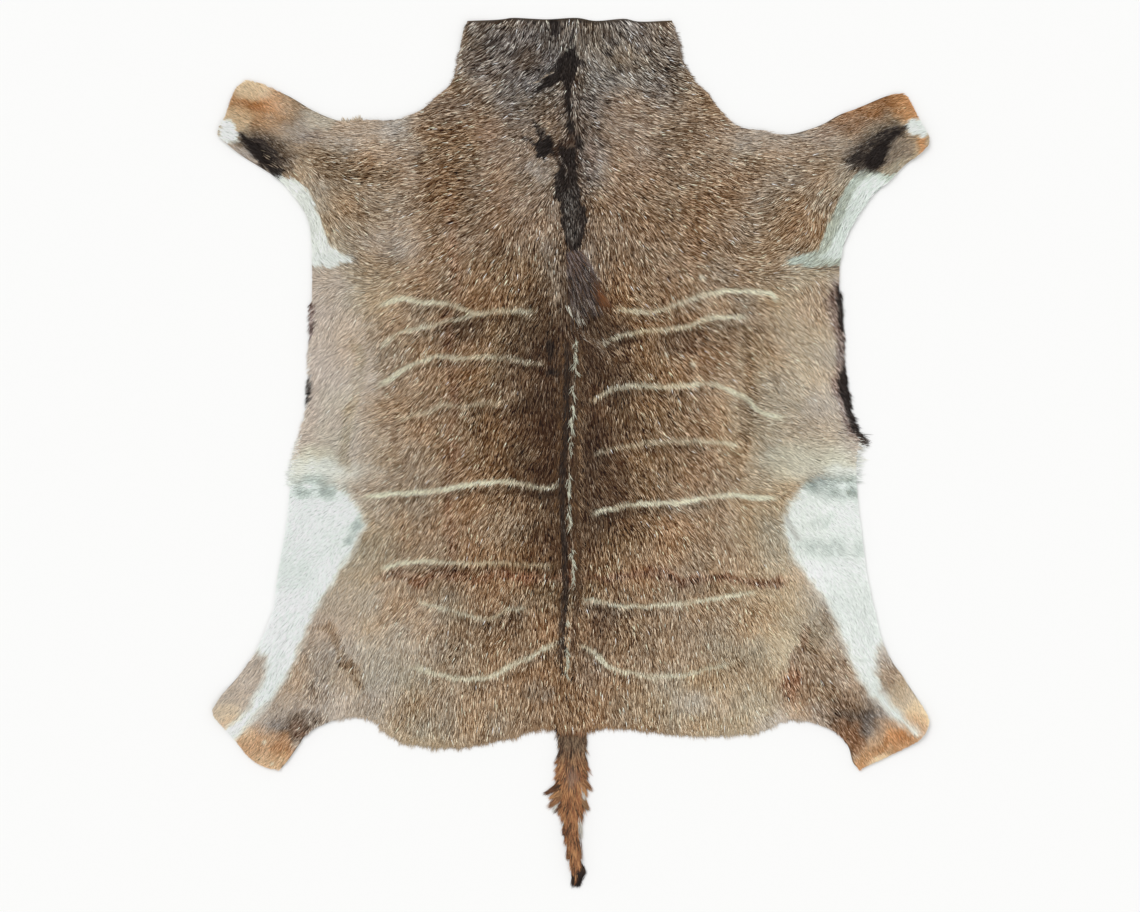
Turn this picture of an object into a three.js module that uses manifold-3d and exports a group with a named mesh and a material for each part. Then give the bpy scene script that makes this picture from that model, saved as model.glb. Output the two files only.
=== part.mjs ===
// Kudu hide, hair on, laid flat with the hair side up.
// Millimetres; +Z up with the floor at z = 0, +Y to the neck, +X to the hide's right side as seen from above.
import * as THREE from "three";
import { mergeVertices } from "three/addons/utils/BufferGeometryUtils.js";
import Module from "manifold-3d";

// Sizes
const LENGTH = 1744; // neck edge to tail tip
const WIDTH = 1430; // leg end to leg end
const SKIN = 2.2; // tanned leather
const PILE = 3.6; // body hair as it lies, above the leather
const GRID = 38; // spacing of the height grid
const RIM_STEP = 16; // spacing of points along the cut edge
const HIND_END = -660; // just past the hind legs; only the tail reaches further
const MARGIN = 20; // how far the uncut sheet reaches past the outline
const FOLD_END = 90; // length over which a fold dies out
const LOCK = { root: 7, width: 7, more: 2, high: 4.2 }; // root: inside the hide; more: random extra width
const TAIL_LOCK = { width: 11, high: 5 };
const LOCK_GAP = 0.35; // from the floor to a lock's level underside
const TAIL_SIDES = 12;

// The cut edge, anticlockwise from the right end of the neck.
// Each stretch runs smoothly through its [x, y] knots and meets the next at a corner.
const edge = {
  neckEdge: [[202, 866], [131, 865], [109, 870], [48, 866], [13, 871.8], [-48, 869], [-119, 871.8], [-137, 869],
    [-207, 865]],
  leftNeckSide: [[-207, 865], [-216, 826], [-224, 779], [-235, 740], [-262, 716], [-302, 682], [-361, 667],
    [-419, 667], [-449, 663], [-507, 682], [-566, 716], [-633, 743], [-652, 744]],
  leftForelegEnd: [[-652, 744], [-668, 733], [-679, 710], [-692, 671], [-704, 650], [-705, 635]],
  leftForelegInner: [[-705, 635], [-663, 600], [-595, 556], [-560, 524], [-540, 495], [-525, 468], [-518, 430],
    [-517, 308], [-520, 216], [-522, 140], [-525, 96], [-536, 46], [-545, 8], [-554, -24], [-560, -60]],
  leftHindOuter: [[-560, -60], [-570, -151], [-588, -258], [-594, -310], [-608, -347], [-630, -396], [-662, -441],
    [-697, -481], [-715, -508]],
  leftHindEnd: [[-715, -508], [-715, -520], [-697, -543], [-673, -570], [-639, -610], [-604, -628], [-580, -629]],
  leftHindInner: [[-580, -629], [-568, -615], [-546, -584], [-523, -552], [-492, -535], [-456, -523], [-412, -521],
    [-380, -535]],
  leftRump: [[-380, -535], [-340, -562], [-299, -572], [-242, -576], [-201, -572], [-160, -564], [-115, -554],
    [-82, -543], [-50, -537], [0, -548]],
  rightRump: [[0, -548], [37, -547], [70, -537], [138, -541], [200, -549], [270, -552], [338, -550], [372, -545],
    [398, -536]],
  rightHindInner: [[398, -536], [443, -526], [487, -535], [527, -552], [554, -584], [565, -619], [577, -630]],
  rightHindEnd: [[577, -630], [648, -597], [697, -570], [711, -550], [715, -536]],
  rightHindOuter: [[715, -536], [711, -521], [693, -490], [666, -450], [639, -410], [621, -374], [608, -320],
    [594, -258], [581, -164], [572, -84], [570, -20], [573, 10]],
  rightFlank: [[573, 10], [572, 31], [556, 77], [548, 119], [542, 184], [540, 257], [535, 328], [537, 380],
    [543, 410]],
  rightForelegInner: [[543, 410], [556, 443], [576, 479], [603, 516], [636, 546], [669, 579], [696, 599],
    [714, 617]],
  rightForelegEnd: [[714, 617], [715, 632], [705, 652], [692, 675], [680, 700], [670, 716], [659, 720]],
  rightNeckSide: [[659, 720], [636, 717], [570, 690], [537, 678], [503, 659], [470, 647], [437, 639], [410, 639],
    [371, 648], [337, 652], [311, 668], [265, 723], [238, 751], [217, 790], [208, 829], [202, 866]],
};

// Storage folds, standing as low soft ridges.
// from, to: ends of the fold; high: lift of the ridge; wide: half its width
const folds = [
  { from: [-382, -248], to: [438, -248], high: 4.5, wide: 34 }, // across the rump
  { from: [-238, 368], to: [-238, -232], high: 3.5, wide: 32 }, // left back
  { from: [-436, 198], to: [-436, -60], high: 3.2, wide: 32 }, // left flank
  { from: [358, 248], to: [350, -52], high: 3.6, wide: 34 }, // right back
  { from: [-510, -330], to: [-412, -472], high: 3.2, wide: 36 }, // left thigh
  { from: [478, -330], to: [438, -494], high: 4.2, wide: 36 }, // right thigh
];

// Corners that curl a little off the floor.
// at: middle of the curl; high: lift there; reach: how far in it fades out
const curls = [
  { at: [715, 640], high: 5, reach: 95 },
  { at: [-705, 650], high: 4, reach: 90 },
  { at: [-715, -515], high: 4, reach: 85 },
  { at: [715, -545], high: 5, reach: 90 },
  { at: [-207, 868], high: 3.5, reach: 70 },
  { at: [202, 868], high: 3, reach: 60 },
];

// Where the hair is longer or shorter than the body hair.
// at, reach: middle and half sizes of the area; more: added pile height
const pileAreas = [
  { at: [-600, -330], reach: [130, 260], more: -1.8 }, // left groin and hind leg
  { at: [620, -330], reach: [130, 260], more: -1.8 }, // right groin and hind leg
  { at: [-610, 590], reach: [130, 110], more: -1.4 }, // left foreleg
  { at: [630, 600], reach: [130, 110], more: -1.4 }, // right foreleg
  { at: [10, 300], reach: [60, 330], more: 2.6 }, // mane over the withers
  { at: [5, -150], reach: [45, 400], more: 1.6 }, // crest along the back
  { at: [0, 760], reach: [230, 130], more: 1.0 }, // thick neck hair
];

// Hair locks that reach past the cut edge.
// span: first and last share of the stretch; every: spacing; long: reach; heading: degrees from +X
const rimLocks = [
  { on: "leftRump", span: [0.0, 0.93], every: 11, long: 15, heading: [-112, -88] },
  { on: "rightRump", span: [0.08, 1.0], every: 11, long: 14, heading: [-92, -66] },
  { on: "rightHindInner", span: [0.0, 0.25], every: 12, long: 10, heading: [-70, -60] },
  { on: "leftHindInner", span: [0.7, 1.0], every: 12, long: 11, heading: [-120, -112] },
  { on: "rightFlank", span: [0.0, 0.14], every: 10, long: 24, heading: [-6, -22] },
  { on: "rightFlank", span: [0.16, 0.85], every: 12, long: 16, heading: [-40, -58] },
  { on: "rightHindOuter", span: [0.9, 1.0], every: 11, long: 20, heading: [0, -12] },
  { on: "leftForelegInner", span: [0.52, 0.97], every: 12, long: 15, heading: [-122, -158] },
  { on: "leftNeckSide", span: [0.14, 0.34], every: 12, long: 14, heading: [205, 222] },
  { on: "rightNeckSide", span: [0.7, 0.96], every: 12, long: 15, heading: [-28, 4] },
];

// The tail: D-shaped sections, flat on the floor.
// y: station; x: middle; half: half width; crown: height
const tail = [
  { y: -520, x: 2, half: 30, crown: 5.6 },
  { y: -560, x: 2, half: 28, crown: 7.5 },
  { y: -592, x: 3, half: 25, crown: 9 },
  { y: -622, x: 1, half: 30, crown: 11 },
  { y: -655, x: 1, half: 33, crown: 12.5 },
  { y: -688, x: 0, half: 31, crown: 13 },
  { y: -716, x: 2, half: 27, crown: 12 },
  { y: -742, x: 1, half: 21, crown: 10.5 },
  { y: -776, x: 4, half: 17, crown: 9 },
  { y: -810, x: 9, half: 16, crown: 7.5 },
  { y: -846, x: 15, half: 15, crown: 6 },
  { y: -872, x: 11, half: 4, crown: 3 },
];

// Locks round the tail.
// at: root of the lock; long: reach; heading: degrees from +X
const tailLocks = [
  { at: [-20, -602], long: 24, heading: -138 },
  { at: [-26, -634], long: 22, heading: -128 },
  { at: [-28, -652], long: 42, heading: -135 },
  { at: [-28, -672], long: 42, heading: -126 },
  { at: [-26, -694], long: 26, heading: -118 },
  { at: [-20, -722], long: 20, heading: -108 },
  { at: [-14, -748], long: 20, heading: -104 },
  { at: [-8, -790], long: 18, heading: -100 },
  { at: [24, -602], long: 20, heading: -52 },
  { at: [30, -630], long: 22, heading: -56 },
  { at: [29, -650], long: 32, heading: -50 },
  { at: [26, -686], long: 32, heading: -64 },
  { at: [22, -716], long: 24, heading: -66 },
  { at: [17, -748], long: 22, heading: -72 },
  { at: [18, -784], long: 22, heading: -74 },
  { at: [22, -818], long: 22, heading: -72 },
];

const wasm = await Module();
wasm.setup();

/** Steady pseudo-random number from 0 to 1 for a whole number. */
function scatter(n) {
  const wave = Math.sin(n * 127.1 + 311.7) * 43758.5453;
  return wave - Math.floor(wave);
}

/** Soft unevenness from -1 to 1 with bumps about `size` across. */
function unevenness(x, y, size) {
  const u = x / size;
  const v = y / size;
  return (Math.sin(u * 2.1 + Math.sin(v * 1.7 + 0.6) * 1.3) + Math.sin(v * 2.4 + Math.sin(u * 1.9 + 2.1) * 1.5)) / 2;
}

/** 1 at the middle, fading smoothly to 0 at distance 1. */
function fade(distance) {
  return distance >= 1 ? 0 : (1 + Math.cos(Math.PI * distance)) / 2;
}

/** A closed indexed geometry as a manifold solid. */
function solidOf(geometry) {
  const bare = geometry.clone();
  bare.deleteAttribute("normal");
  bare.deleteAttribute("uv");
  const merged = mergeVertices(bare, 1e-4);
  return new wasm.Manifold(
    new wasm.Mesh({
      numProp: 3,
      vertProperties: new Float32Array(merged.attributes.position.array),
      triVerts: new Uint32Array(merged.index.array),
    }),
  );
}

/** Points along one stretch of the cut edge, both ends included. */
function pointsAlong(knots, step) {
  const curve = new THREE.CatmullRomCurve3(
    knots.map(([x, y]) => new THREE.Vector3(x, y, 0)),
    false,
    "centripetal",
  );
  return curve.getSpacedPoints(Math.max(2, Math.round(curve.getLength() / step)));
}

/** Height of the hide's underside above the floor. */
function liftAt(x, y) {
  const here = new THREE.Vector3(x, y, 0);
  const nearest = new THREE.Vector3();
  let lift = 0;
  for (const { from, to, high, wide } of folds) {
    const line = new THREE.Line3(new THREE.Vector3(...from, 0), new THREE.Vector3(...to, 0));
    line.closestPointToPoint(here, true, nearest);
    const along = Math.min(nearest.distanceTo(line.start), nearest.distanceTo(line.end));
    const ends = Math.min(1, 0.25 + along / FOLD_END);
    lift = Math.max(lift, high * ends * fade(here.distanceTo(nearest) / wide));
  }
  for (const { at, high, reach } of curls) {
    lift = Math.max(lift, high * fade(Math.hypot(x - at[0], y - at[1]) / reach));
  }
  return lift < 0.05 ? 0 : lift;
}

/** Height of the hair above the leather. */
function pileAt(x, y) {
  let pile = PILE + 0.5 * unevenness(x, y, 46) + 0.35 * unevenness(y + 300, x, 19);
  for (const { at, reach, more } of pileAreas) {
    pile += more * fade(Math.hypot((x - at[0]) / reach[0], (y - at[1]) / reach[1]));
  }
  return Math.max(1.2, pile);
}

/** Grid lines from one end to the other: evenly spaced, with one on each fold and one at each of its feet. */
function gridLines(low, high, crests) {
  const lines = new Set([low, high]);
  for (const { at, wide } of crests) [-wide, -wide / 2, 0, wide / 2, wide].forEach((d) => lines.add(at + d));
  const fixed = [...lines].sort((a, b) => a - b);
  const all = [fixed[0]];
  for (let i = 1; i < fixed.length; i += 1) {
    const gap = fixed[i] - fixed[i - 1];
    const parts = Math.max(1, Math.round(gap / GRID));
    for (let k = 1; k <= parts; k += 1) all.push(fixed[i - 1] + (gap * k) / parts);
  }
  return all;
}

/** The whole sheet as a rectangle with the hide's heights. */
function sheetBlock() {
  const lengthwise = folds.filter(({ from, to }) => Math.abs(from[0] - to[0]) < MARGIN);
  const crosswise = folds.filter(({ from, to }) => from[1] === to[1]);
  const xs = gridLines(-WIDTH / 2 - MARGIN, WIDTH / 2 + MARGIN,
    lengthwise.map(({ from, to, wide }) => ({ at: (from[0] + to[0]) / 2, wide })));
  const ys = gridLines(HIND_END, LENGTH / 2 + MARGIN, crosswise.map(({ from, wide }) => ({ at: from[1], wide })));
  const block = new THREE.BoxGeometry(1, 1, 1, xs.length - 1, ys.length - 1, 1);
  const place = block.attributes.position;
  for (let i = 0; i < place.count; i += 1) {
    const x = xs[Math.round((place.getX(i) + 0.5) * (xs.length - 1))];
    const y = ys[Math.round((place.getY(i) + 0.5) * (ys.length - 1))];
    const lift = liftAt(x, y);
    place.setXYZ(i, x, y, place.getZ(i) > 0 ? lift + SKIN + pileAt(x, y) : lift);
  }
  return solidOf(block);
}

/** The trimmed outline as an upright prism. */
function outlinePrism() {
  const corners = Object.values(edge).flatMap((knots) => pointsAlong(knots, RIM_STEP).slice(0, -1));
  const shape = new THREE.Shape(corners.map((p) => new THREE.Vector2(p.x, p.y)));
  const prism = new THREE.ExtrudeGeometry(shape, { depth: 2 * MARGIN, bevelEnabled: false });
  prism.translate(0, 0, -MARGIN / 2);
  return solidOf(prism);
}

/** A three-sided lock lying level on the floor, its root inside the hide. */
function lock(x, y, heading, long, wide, high, floor) {
  const cone = new THREE.ConeGeometry(1, 1, 3, 1, false);
  const place = cone.attributes.position;
  const turn = (heading * Math.PI) / 180;
  for (let i = 0; i < place.count; i += 1) {
    const atTip = place.getY(i) > 0;
    const centre = Math.abs(place.getX(i)) + Math.abs(place.getZ(i)) < 1e-6;
    const across = atTip || centre ? 0 : (-place.getX(i) / 0.866) * (wide / 2);
    const up = atTip ? 0 : centre ? high / 3 : place.getZ(i) > 0.9 ? high : 0;
    const along = atTip ? long : -LOCK.root;
    place.setXYZ(
      i,
      x + along * Math.cos(turn) - across * Math.sin(turn),
      y + along * Math.sin(turn) + across * Math.cos(turn),
      floor + up,
    );
  }
  return solidOf(cone);
}

/** All locks past the cut edge and round the tail. */
function allLocks() {
  const locks = [];
  let n = 0;
  for (const { on, span, every, long, heading } of rimLocks) {
    const points = pointsAlong(edge[on], every);
    points.forEach((point, i) => {
      const share = i / (points.length - 1);
      if (share < span[0] || share > span[1]) return;
      n += 1;
      const along = (share - span[0]) / (span[1] - span[0]);
      const turn = heading[0] + (heading[1] - heading[0]) * along + (scatter(n) - 0.5) * 16;
      const reach = long * (0.65 + 0.6 * scatter(n + 500));
      const wide = LOCK.width + LOCK.more * scatter(n + 900);
      const floor = liftAt(point.x, point.y) + LOCK_GAP;
      locks.push(lock(point.x, point.y, turn, reach, wide, LOCK.high, floor));
    });
  }
  for (const { at, long, heading } of tailLocks) {
    locks.push(lock(at[0], at[1], heading, long, TAIL_LOCK.width, TAIL_LOCK.high, LOCK_GAP));
  }
  return locks;
}

/** The tail: a long closed tube moved onto the section table. */
function tailBody() {
  const tube = new THREE.CylinderGeometry(1, 1, 1, TAIL_SIDES, tail.length - 1, false);
  const place = tube.attributes.position;
  for (let i = 0; i < place.count; i += 1) {
    const row = tail[Math.round((0.5 - place.getY(i)) * (tail.length - 1))];
    const up = Math.max(0, place.getZ(i) + 0.35) / 1.35;
    place.setXYZ(i, row.x + place.getX(i) * row.half, row.y, row.crown * up);
  }
  return solidOf(tube);
}

/** A manifold solid back as a geometry with its own normals. */
function geometryOf(solid) {
  const { vertProperties, triVerts, numProp } = solid.getMesh();
  const place = new Float32Array((vertProperties.length / numProp) * 3);
  for (let i = 0; i < place.length / 3; i += 1) {
    for (let k = 0; k < 3; k += 1) place[i * 3 + k] = vertProperties[i * numProp + k];
  }
  const geometry = new THREE.BufferGeometry();
  geometry.setAttribute("position", new THREE.BufferAttribute(place, 3));
  geometry.setIndex(new THREE.BufferAttribute(new Uint32Array(triVerts), 1));
  geometry.computeVertexNormals();
  return geometry;
}

// The hide
let body = sheetBlock().intersect(outlinePrism()).add(tailBody());
for (const each of allLocks()) body = body.add(each);

const coat = new THREE.MeshStandardMaterial({ color: 0x84705c, roughness: 0.9, metalness: 0 });
const hide = new THREE.Mesh(geometryOf(body), coat);
hide.name = "hide";

const group = new THREE.Group();
group.name = "kudu_hide";
group.add(hide);
export default group;
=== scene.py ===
import math

import bmesh
import bpy
import numpy as np
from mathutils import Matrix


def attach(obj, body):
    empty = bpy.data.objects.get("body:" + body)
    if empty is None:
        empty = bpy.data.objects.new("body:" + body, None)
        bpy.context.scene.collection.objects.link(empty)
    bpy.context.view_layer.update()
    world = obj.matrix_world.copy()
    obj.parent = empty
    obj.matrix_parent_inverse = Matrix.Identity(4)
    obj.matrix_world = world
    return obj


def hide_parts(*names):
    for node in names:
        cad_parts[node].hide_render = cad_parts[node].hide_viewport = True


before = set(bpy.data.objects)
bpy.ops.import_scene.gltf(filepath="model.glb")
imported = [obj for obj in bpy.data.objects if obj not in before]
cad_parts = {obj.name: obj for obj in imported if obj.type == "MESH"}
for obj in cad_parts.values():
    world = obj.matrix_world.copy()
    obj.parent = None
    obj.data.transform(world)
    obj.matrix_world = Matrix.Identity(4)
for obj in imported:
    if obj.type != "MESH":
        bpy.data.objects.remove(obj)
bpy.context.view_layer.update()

# Lengths below are millimetres in the hide's own frame: +Y to the neck, +X to the right, floor at z = 0.
MM = 0.001
SKIN = 2.2  # tanned leather
SKIN_MESH = 8.0  # facets of the skin
RIM_STEP = 7.0  # points along the cut edge
FIELD_STEP = 4.0  # spacing of the lookup field for distances to the cut edge
STREAK_STEP = 2.0  # spacing of the lookup field for streaks in the coat
NOISE_CELLS = 512

# The cut edge, anticlockwise from the right end of the neck
EDGE = {
    "neck_edge": [(202, 866), (131, 865), (109, 870), (48, 866), (13, 871.8), (-48, 869), (-119, 871.8),
                  (-137, 869), (-207, 865)],
    "left_neck_side": [(-207, 865), (-216, 826), (-224, 779), (-235, 740), (-262, 716), (-302, 682),
                       (-361, 667), (-419, 667), (-449, 663), (-507, 682), (-566, 716), (-633, 743),
                       (-652, 744)],
    "left_foreleg_end": [(-652, 744), (-668, 733), (-679, 710), (-692, 671), (-704, 650), (-705, 635)],
    "left_foreleg_inner": [(-705, 635), (-663, 600), (-595, 556), (-560, 524), (-540, 495), (-525, 468),
                           (-518, 430), (-517, 308)],
    "left_flank": [(-517, 308), (-520, 216), (-522, 140), (-525, 96), (-536, 46), (-545, 8), (-554, -24),
                   (-560, -60)],
    "left_hind_outer": [(-560, -60), (-570, -151), (-588, -258), (-594, -310), (-608, -347), (-630, -396),
                        (-662, -441), (-697, -481), (-715, -508)],
    "left_hind_end": [(-715, -508), (-715, -520), (-697, -543), (-673, -570), (-639, -610), (-604, -628),
                      (-580, -629)],
    "left_hind_inner": [(-580, -629), (-568, -615), (-546, -584), (-523, -552), (-492, -535), (-456, -523),
                        (-412, -521), (-380, -535)],
    "left_rump": [(-380, -535), (-340, -562), (-299, -572), (-242, -576), (-201, -572), (-160, -564),
                  (-115, -554), (-82, -543), (-50, -537), (-28, -546)],
    "tail_left": [(-28, -546), (-24, -562), (-19, -592), (-24, -620), (-24, -650), (-20, -680), (-17, -710),
                  (-13, -736), (-8, -772), (-3, -808), (4, -835), (10, -858)],
    "tail_right": [(10, -858), (22, -835), (19, -808), (14, -772), (15, -736), (20, -710), (22, -680),
                   (25, -650), (27, -620), (24, -592), (28, -562), (32, -546)],
    "right_rump": [(32, -546), (70, -537), (138, -541), (200, -549), (270, -552), (338, -550), (372, -545),
                   (398, -536)],
    "right_hind_inner": [(398, -536), (443, -526), (487, -535), (527, -552), (554, -584), (565, -619),
                         (577, -630)],
    "right_hind_end": [(577, -630), (648, -597), (697, -570), (711, -550), (715, -536)],
    "right_hind_outer": [(715, -536), (711, -521), (693, -490), (666, -450), (639, -410), (621, -374),
                         (608, -320), (594, -258), (581, -164), (572, -84), (570, -20), (573, 10)],
    "right_flank": [(573, 10), (572, 31), (556, 77), (548, 119), (542, 184), (540, 257), (535, 328)],
    "right_foreleg_inner": [(535, 328), (537, 380), (543, 410), (556, 443), (576, 479), (603, 516),
                            (636, 546), (669, 579), (696, 599), (714, 617)],
    "right_foreleg_end": [(714, 617), (715, 632), (705, 652), (692, 675), (680, 700), (670, 716),
                          (659, 720)],
    "right_neck_side": [(659, 720), (636, 717), (570, 690), (537, 678), (503, 659), (470, 647), (437, 639),
                        (410, 639), (371, 648), (337, 652), (311, 668), (265, 723), (238, 751), (217, 790),
                        (208, 829), (202, 866)],
}

# How far hair may reach past each stretch; a trimmed stretch isn't listed.
TRIMMED = 1.0
OVERHANG = {"left_rump": 15, "right_rump": 14, "left_hind_inner": 5, "right_hind_inner": 5, "left_flank": 11,
            "right_flank": 13, "right_neck_side": 5, "left_neck_side": 4, "tail_left": 40, "tail_right": 40}

# Storage folds, standing as low soft ridges: (from, to, lift, half width).
FOLDS = [
    ((-382, -248), (438, -248), 4.5, 34),
    ((-238, 368), (-238, -232), 3.5, 32),
    ((-436, 198), (-436, -60), 3.2, 32),
    ((358, 248), (350, -52), 3.6, 34),
    ((-510, -330), (-412, -472), 3.2, 36),
    ((478, -330), (438, -494), 4.2, 36),
]
# Leg ends and neck corners that curl off the floor: (place, lift, reach).
CURLS = [((715, 640), 5, 95), ((-705, 650), 4, 90), ((-715, -515), 4, 85), ((715, -545), 5, 90),
         ((-207, 868), 3.5, 70), ((202, 868), 3, 60)]
# The tail's sections: (station, middle, half width, crown).
TAIL = [(-520, 2, 30, 0.0), (-560, 2, 26, 3.0), (-592, 3, 22, 5.0), (-620, 2, 25, 6.5), (-650, 1, 25, 7.5),
        (-680, 1, 21, 7.5), (-705, 3, 20, 7.0), (-736, 0, 15, 6.0), (-772, 4, 12, 5.0), (-808, 9, 11, 4.5),
        (-835, 14, 10, 4.0), (-858, 11, 5, 2.0)]


# Small helpers
def to_linear(colour):
    """sRGB, as a hex string or an array of values from 0 to 1, as linear light."""
    if isinstance(colour, str):
        colour = srgb(colour)
    return np.where(colour <= 0.04045, colour / 12.92, ((colour + 0.055) / 1.055) ** 2.4)


def srgb(code):
    return np.array([int(code[i:i + 2], 16) / 255 for i in (1, 3, 5)])


def ease(value):
    """0 to 1 with soft ends."""
    value = np.clip(value, 0, 1)
    return value * value * (3 - 2 * value)


def paleness(colour):
    """0 for dark hair to 1 for the palest."""
    return ease((colour.min(axis=1) - 0.5) / 0.3)


def add_object(name, data):
    """Puts a mesh, a light or a camera in the scene."""
    made = bpy.data.objects.new(name, data)
    bpy.context.scene.collection.objects.link(made)
    return made


def store_coat(mesh, tones):
    """Stores the hair's linear colour at each point of a mesh, where its materials find it."""
    tint = np.ones((len(tones), 4))
    tint[:, :3] = tones
    mesh.attributes.new("coat", "FLOAT_COLOR", "POINT").data.foreach_set("color", tint.reshape(-1))


def smooth_line(knots, step):
    """Evenly spaced points on a centripetal curve through the knots, both ends included."""
    p = np.array(knots, float)
    p = np.vstack([2 * p[0] - p[1], p, 2 * p[-1] - p[-2]])
    t = np.linspace(0, 1, 30, endpoint=False)[:, None]
    run = []
    for a, b, c, d in zip(p[:-3], p[1:-2], p[2:-1], p[3:]):
        t0, t1, t2 = (np.linalg.norm(v) ** 0.5 for v in (b - a, c - b, d - c))
        out = ((b - a) / t0 - (c - a) / (t0 + t1) + (c - b) / t1) * t1
        into = ((c - b) / t1 - (d - b) / (t1 + t2) + (d - c) / t2) * t1
        run.append((2 * t**3 - 3 * t**2 + 1) * b + (t**3 - 2 * t**2 + t) * out
                   + (3 * t**2 - 2 * t**3) * c + (t**3 - t**2) * into)
    run = np.vstack(run + [p[-2][None]])
    along = np.concatenate([[0], np.cumsum(np.linalg.norm(np.diff(run, axis=0), axis=1))])
    marks = np.linspace(0, along[-1], max(2, round(along[-1] / step)) + 1)
    return np.column_stack([np.interp(marks, along, run[:, k]) for k in range(2)])


def noise(x, y, size, seed):
    """Smooth random value from -1 to 1 with bumps about `size` across."""
    table = np.random.default_rng(seed).uniform(-1, 1, (NOISE_CELLS, NOISE_CELLS))
    u, v = x / size + 4000, y / size + 4000
    i, j = np.floor(u).astype(int), np.floor(v).astype(int)
    fu, fv = ease(u - i), ease(v - j)
    i0, j0, i1, j1 = (k % NOISE_CELLS for k in (i, j, i + 1, j + 1))
    low = table[i0, j0] * (1 - fu) + table[i1, j0] * fu
    high = table[i0, j1] * (1 - fu) + table[i1, j1] * fu
    return (low * (1 - fv) + high * fv) * 1.4


def distance_to_line(x, y, a, b):
    """Distance to the straight piece from a to b, and the share of it where that is."""
    dx, dy = b[0] - a[0], b[1] - a[1]
    share = np.clip(((x - a[0]) * dx + (y - a[1]) * dy) / max(dx * dx + dy * dy, 1e-9), 0, 1)
    return np.hypot(x - a[0] - share * dx, y - a[1] - share * dy), share


def inside_loop(x, y, loop):
    """True for points inside a closed run of corners."""
    found = np.zeros(np.shape(x), bool)
    for (ax, ay), (bx, by) in zip(loop, np.roll(loop, -1, axis=0)):
        if ay == by:
            continue
        crosses = (ay > y) != (by > y)
        found ^= crosses & (x < (bx - ax) * (y - ay) / (by - ay) + ax)
    return found


def look_up(field, x, y, step=FIELD_STEP):
    """A value of a lookup field between its stations."""
    u = np.clip((x - FIELD_X[0]) / step, 0, field.shape[0] - 1.001)
    v = np.clip((y - FIELD_Y[0]) / step, 0, field.shape[1] - 1.001)
    i, j = u.astype(int), v.astype(int)
    fu, fv = u - i, v - j
    low = field[i, j] * (1 - fu) + field[i + 1, j] * fu
    high = field[i, j + 1] * (1 - fu) + field[i + 1, j + 1] * fu
    return low * (1 - fv) + high * fv


# Outline, and lookup fields for the distance to it
stretches = {name: smooth_line(knots, RIM_STEP) for name, knots in EDGE.items()}
outline = np.vstack([points[:-1] for points in stretches.values()])
reach_past = np.concatenate([np.full(len(points) - 1, float(OVERHANG.get(name, TRIMMED)))
                             for name, points in stretches.items()])
FIELD_X = np.arange(-760, 761, FIELD_STEP)
FIELD_Y = np.arange(-920, 921, FIELD_STEP)
grid_x, grid_y = np.meshgrid(FIELD_X, FIELD_Y, indexing="ij")
edge_distance = np.full(grid_x.shape, 1e9)
overhang_field = np.zeros(grid_x.shape)
for here, after, reach in zip(outline, np.roll(outline, -1, axis=0), reach_past):
    away, _ = distance_to_line(grid_x, grid_y, here, after)
    nearer = away < edge_distance
    edge_distance[nearer] = away[nearer]
    overhang_field[nearer] = reach
edge_distance[~inside_loop(grid_x, grid_y, outline)] *= -1


def lift_at(x, y):
    """Height of the underside above the floor."""
    lift = np.zeros(np.shape(x))
    for start, end, high, wide in FOLDS:
        away, share = distance_to_line(x, y, start, end)
        length = math.dist(start, end)
        ends = np.clip(0.25 + np.minimum(share, 1 - share) * length / 90, 0, 1)
        lift = np.maximum(lift, high * ends * (1 + np.cos(np.pi * np.clip(away / wide, 0, 1))) / 2)
    for (cx, cy), high, wide in CURLS:
        away = np.hypot(x - cx, y - cy)
        lift = np.maximum(lift, high * (1 + np.cos(np.pi * np.clip(away / wide, 0, 1))) / 2)
    return lift


def tail_crown(x, y):
    """Height of the tail's rounded back above flat skin."""
    rows = np.array(TAIL)[::-1]
    middle, half, crown = (np.interp(y, rows[:, 0], rows[:, k]) for k in (1, 2, 3))
    side = np.clip(1 - ((x - middle) / half) ** 2, 0, 1)
    return np.where(y < TAIL[0][0], crown * np.sqrt(side), 0)


def skin_top(x, y):
    """Height of the skin's upper side, a little uneven."""
    return lift_at(x, y) + SKIN + tail_crown(x, y) + 0.35 * noise(x, y, 70, 5) + 0.2


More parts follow.
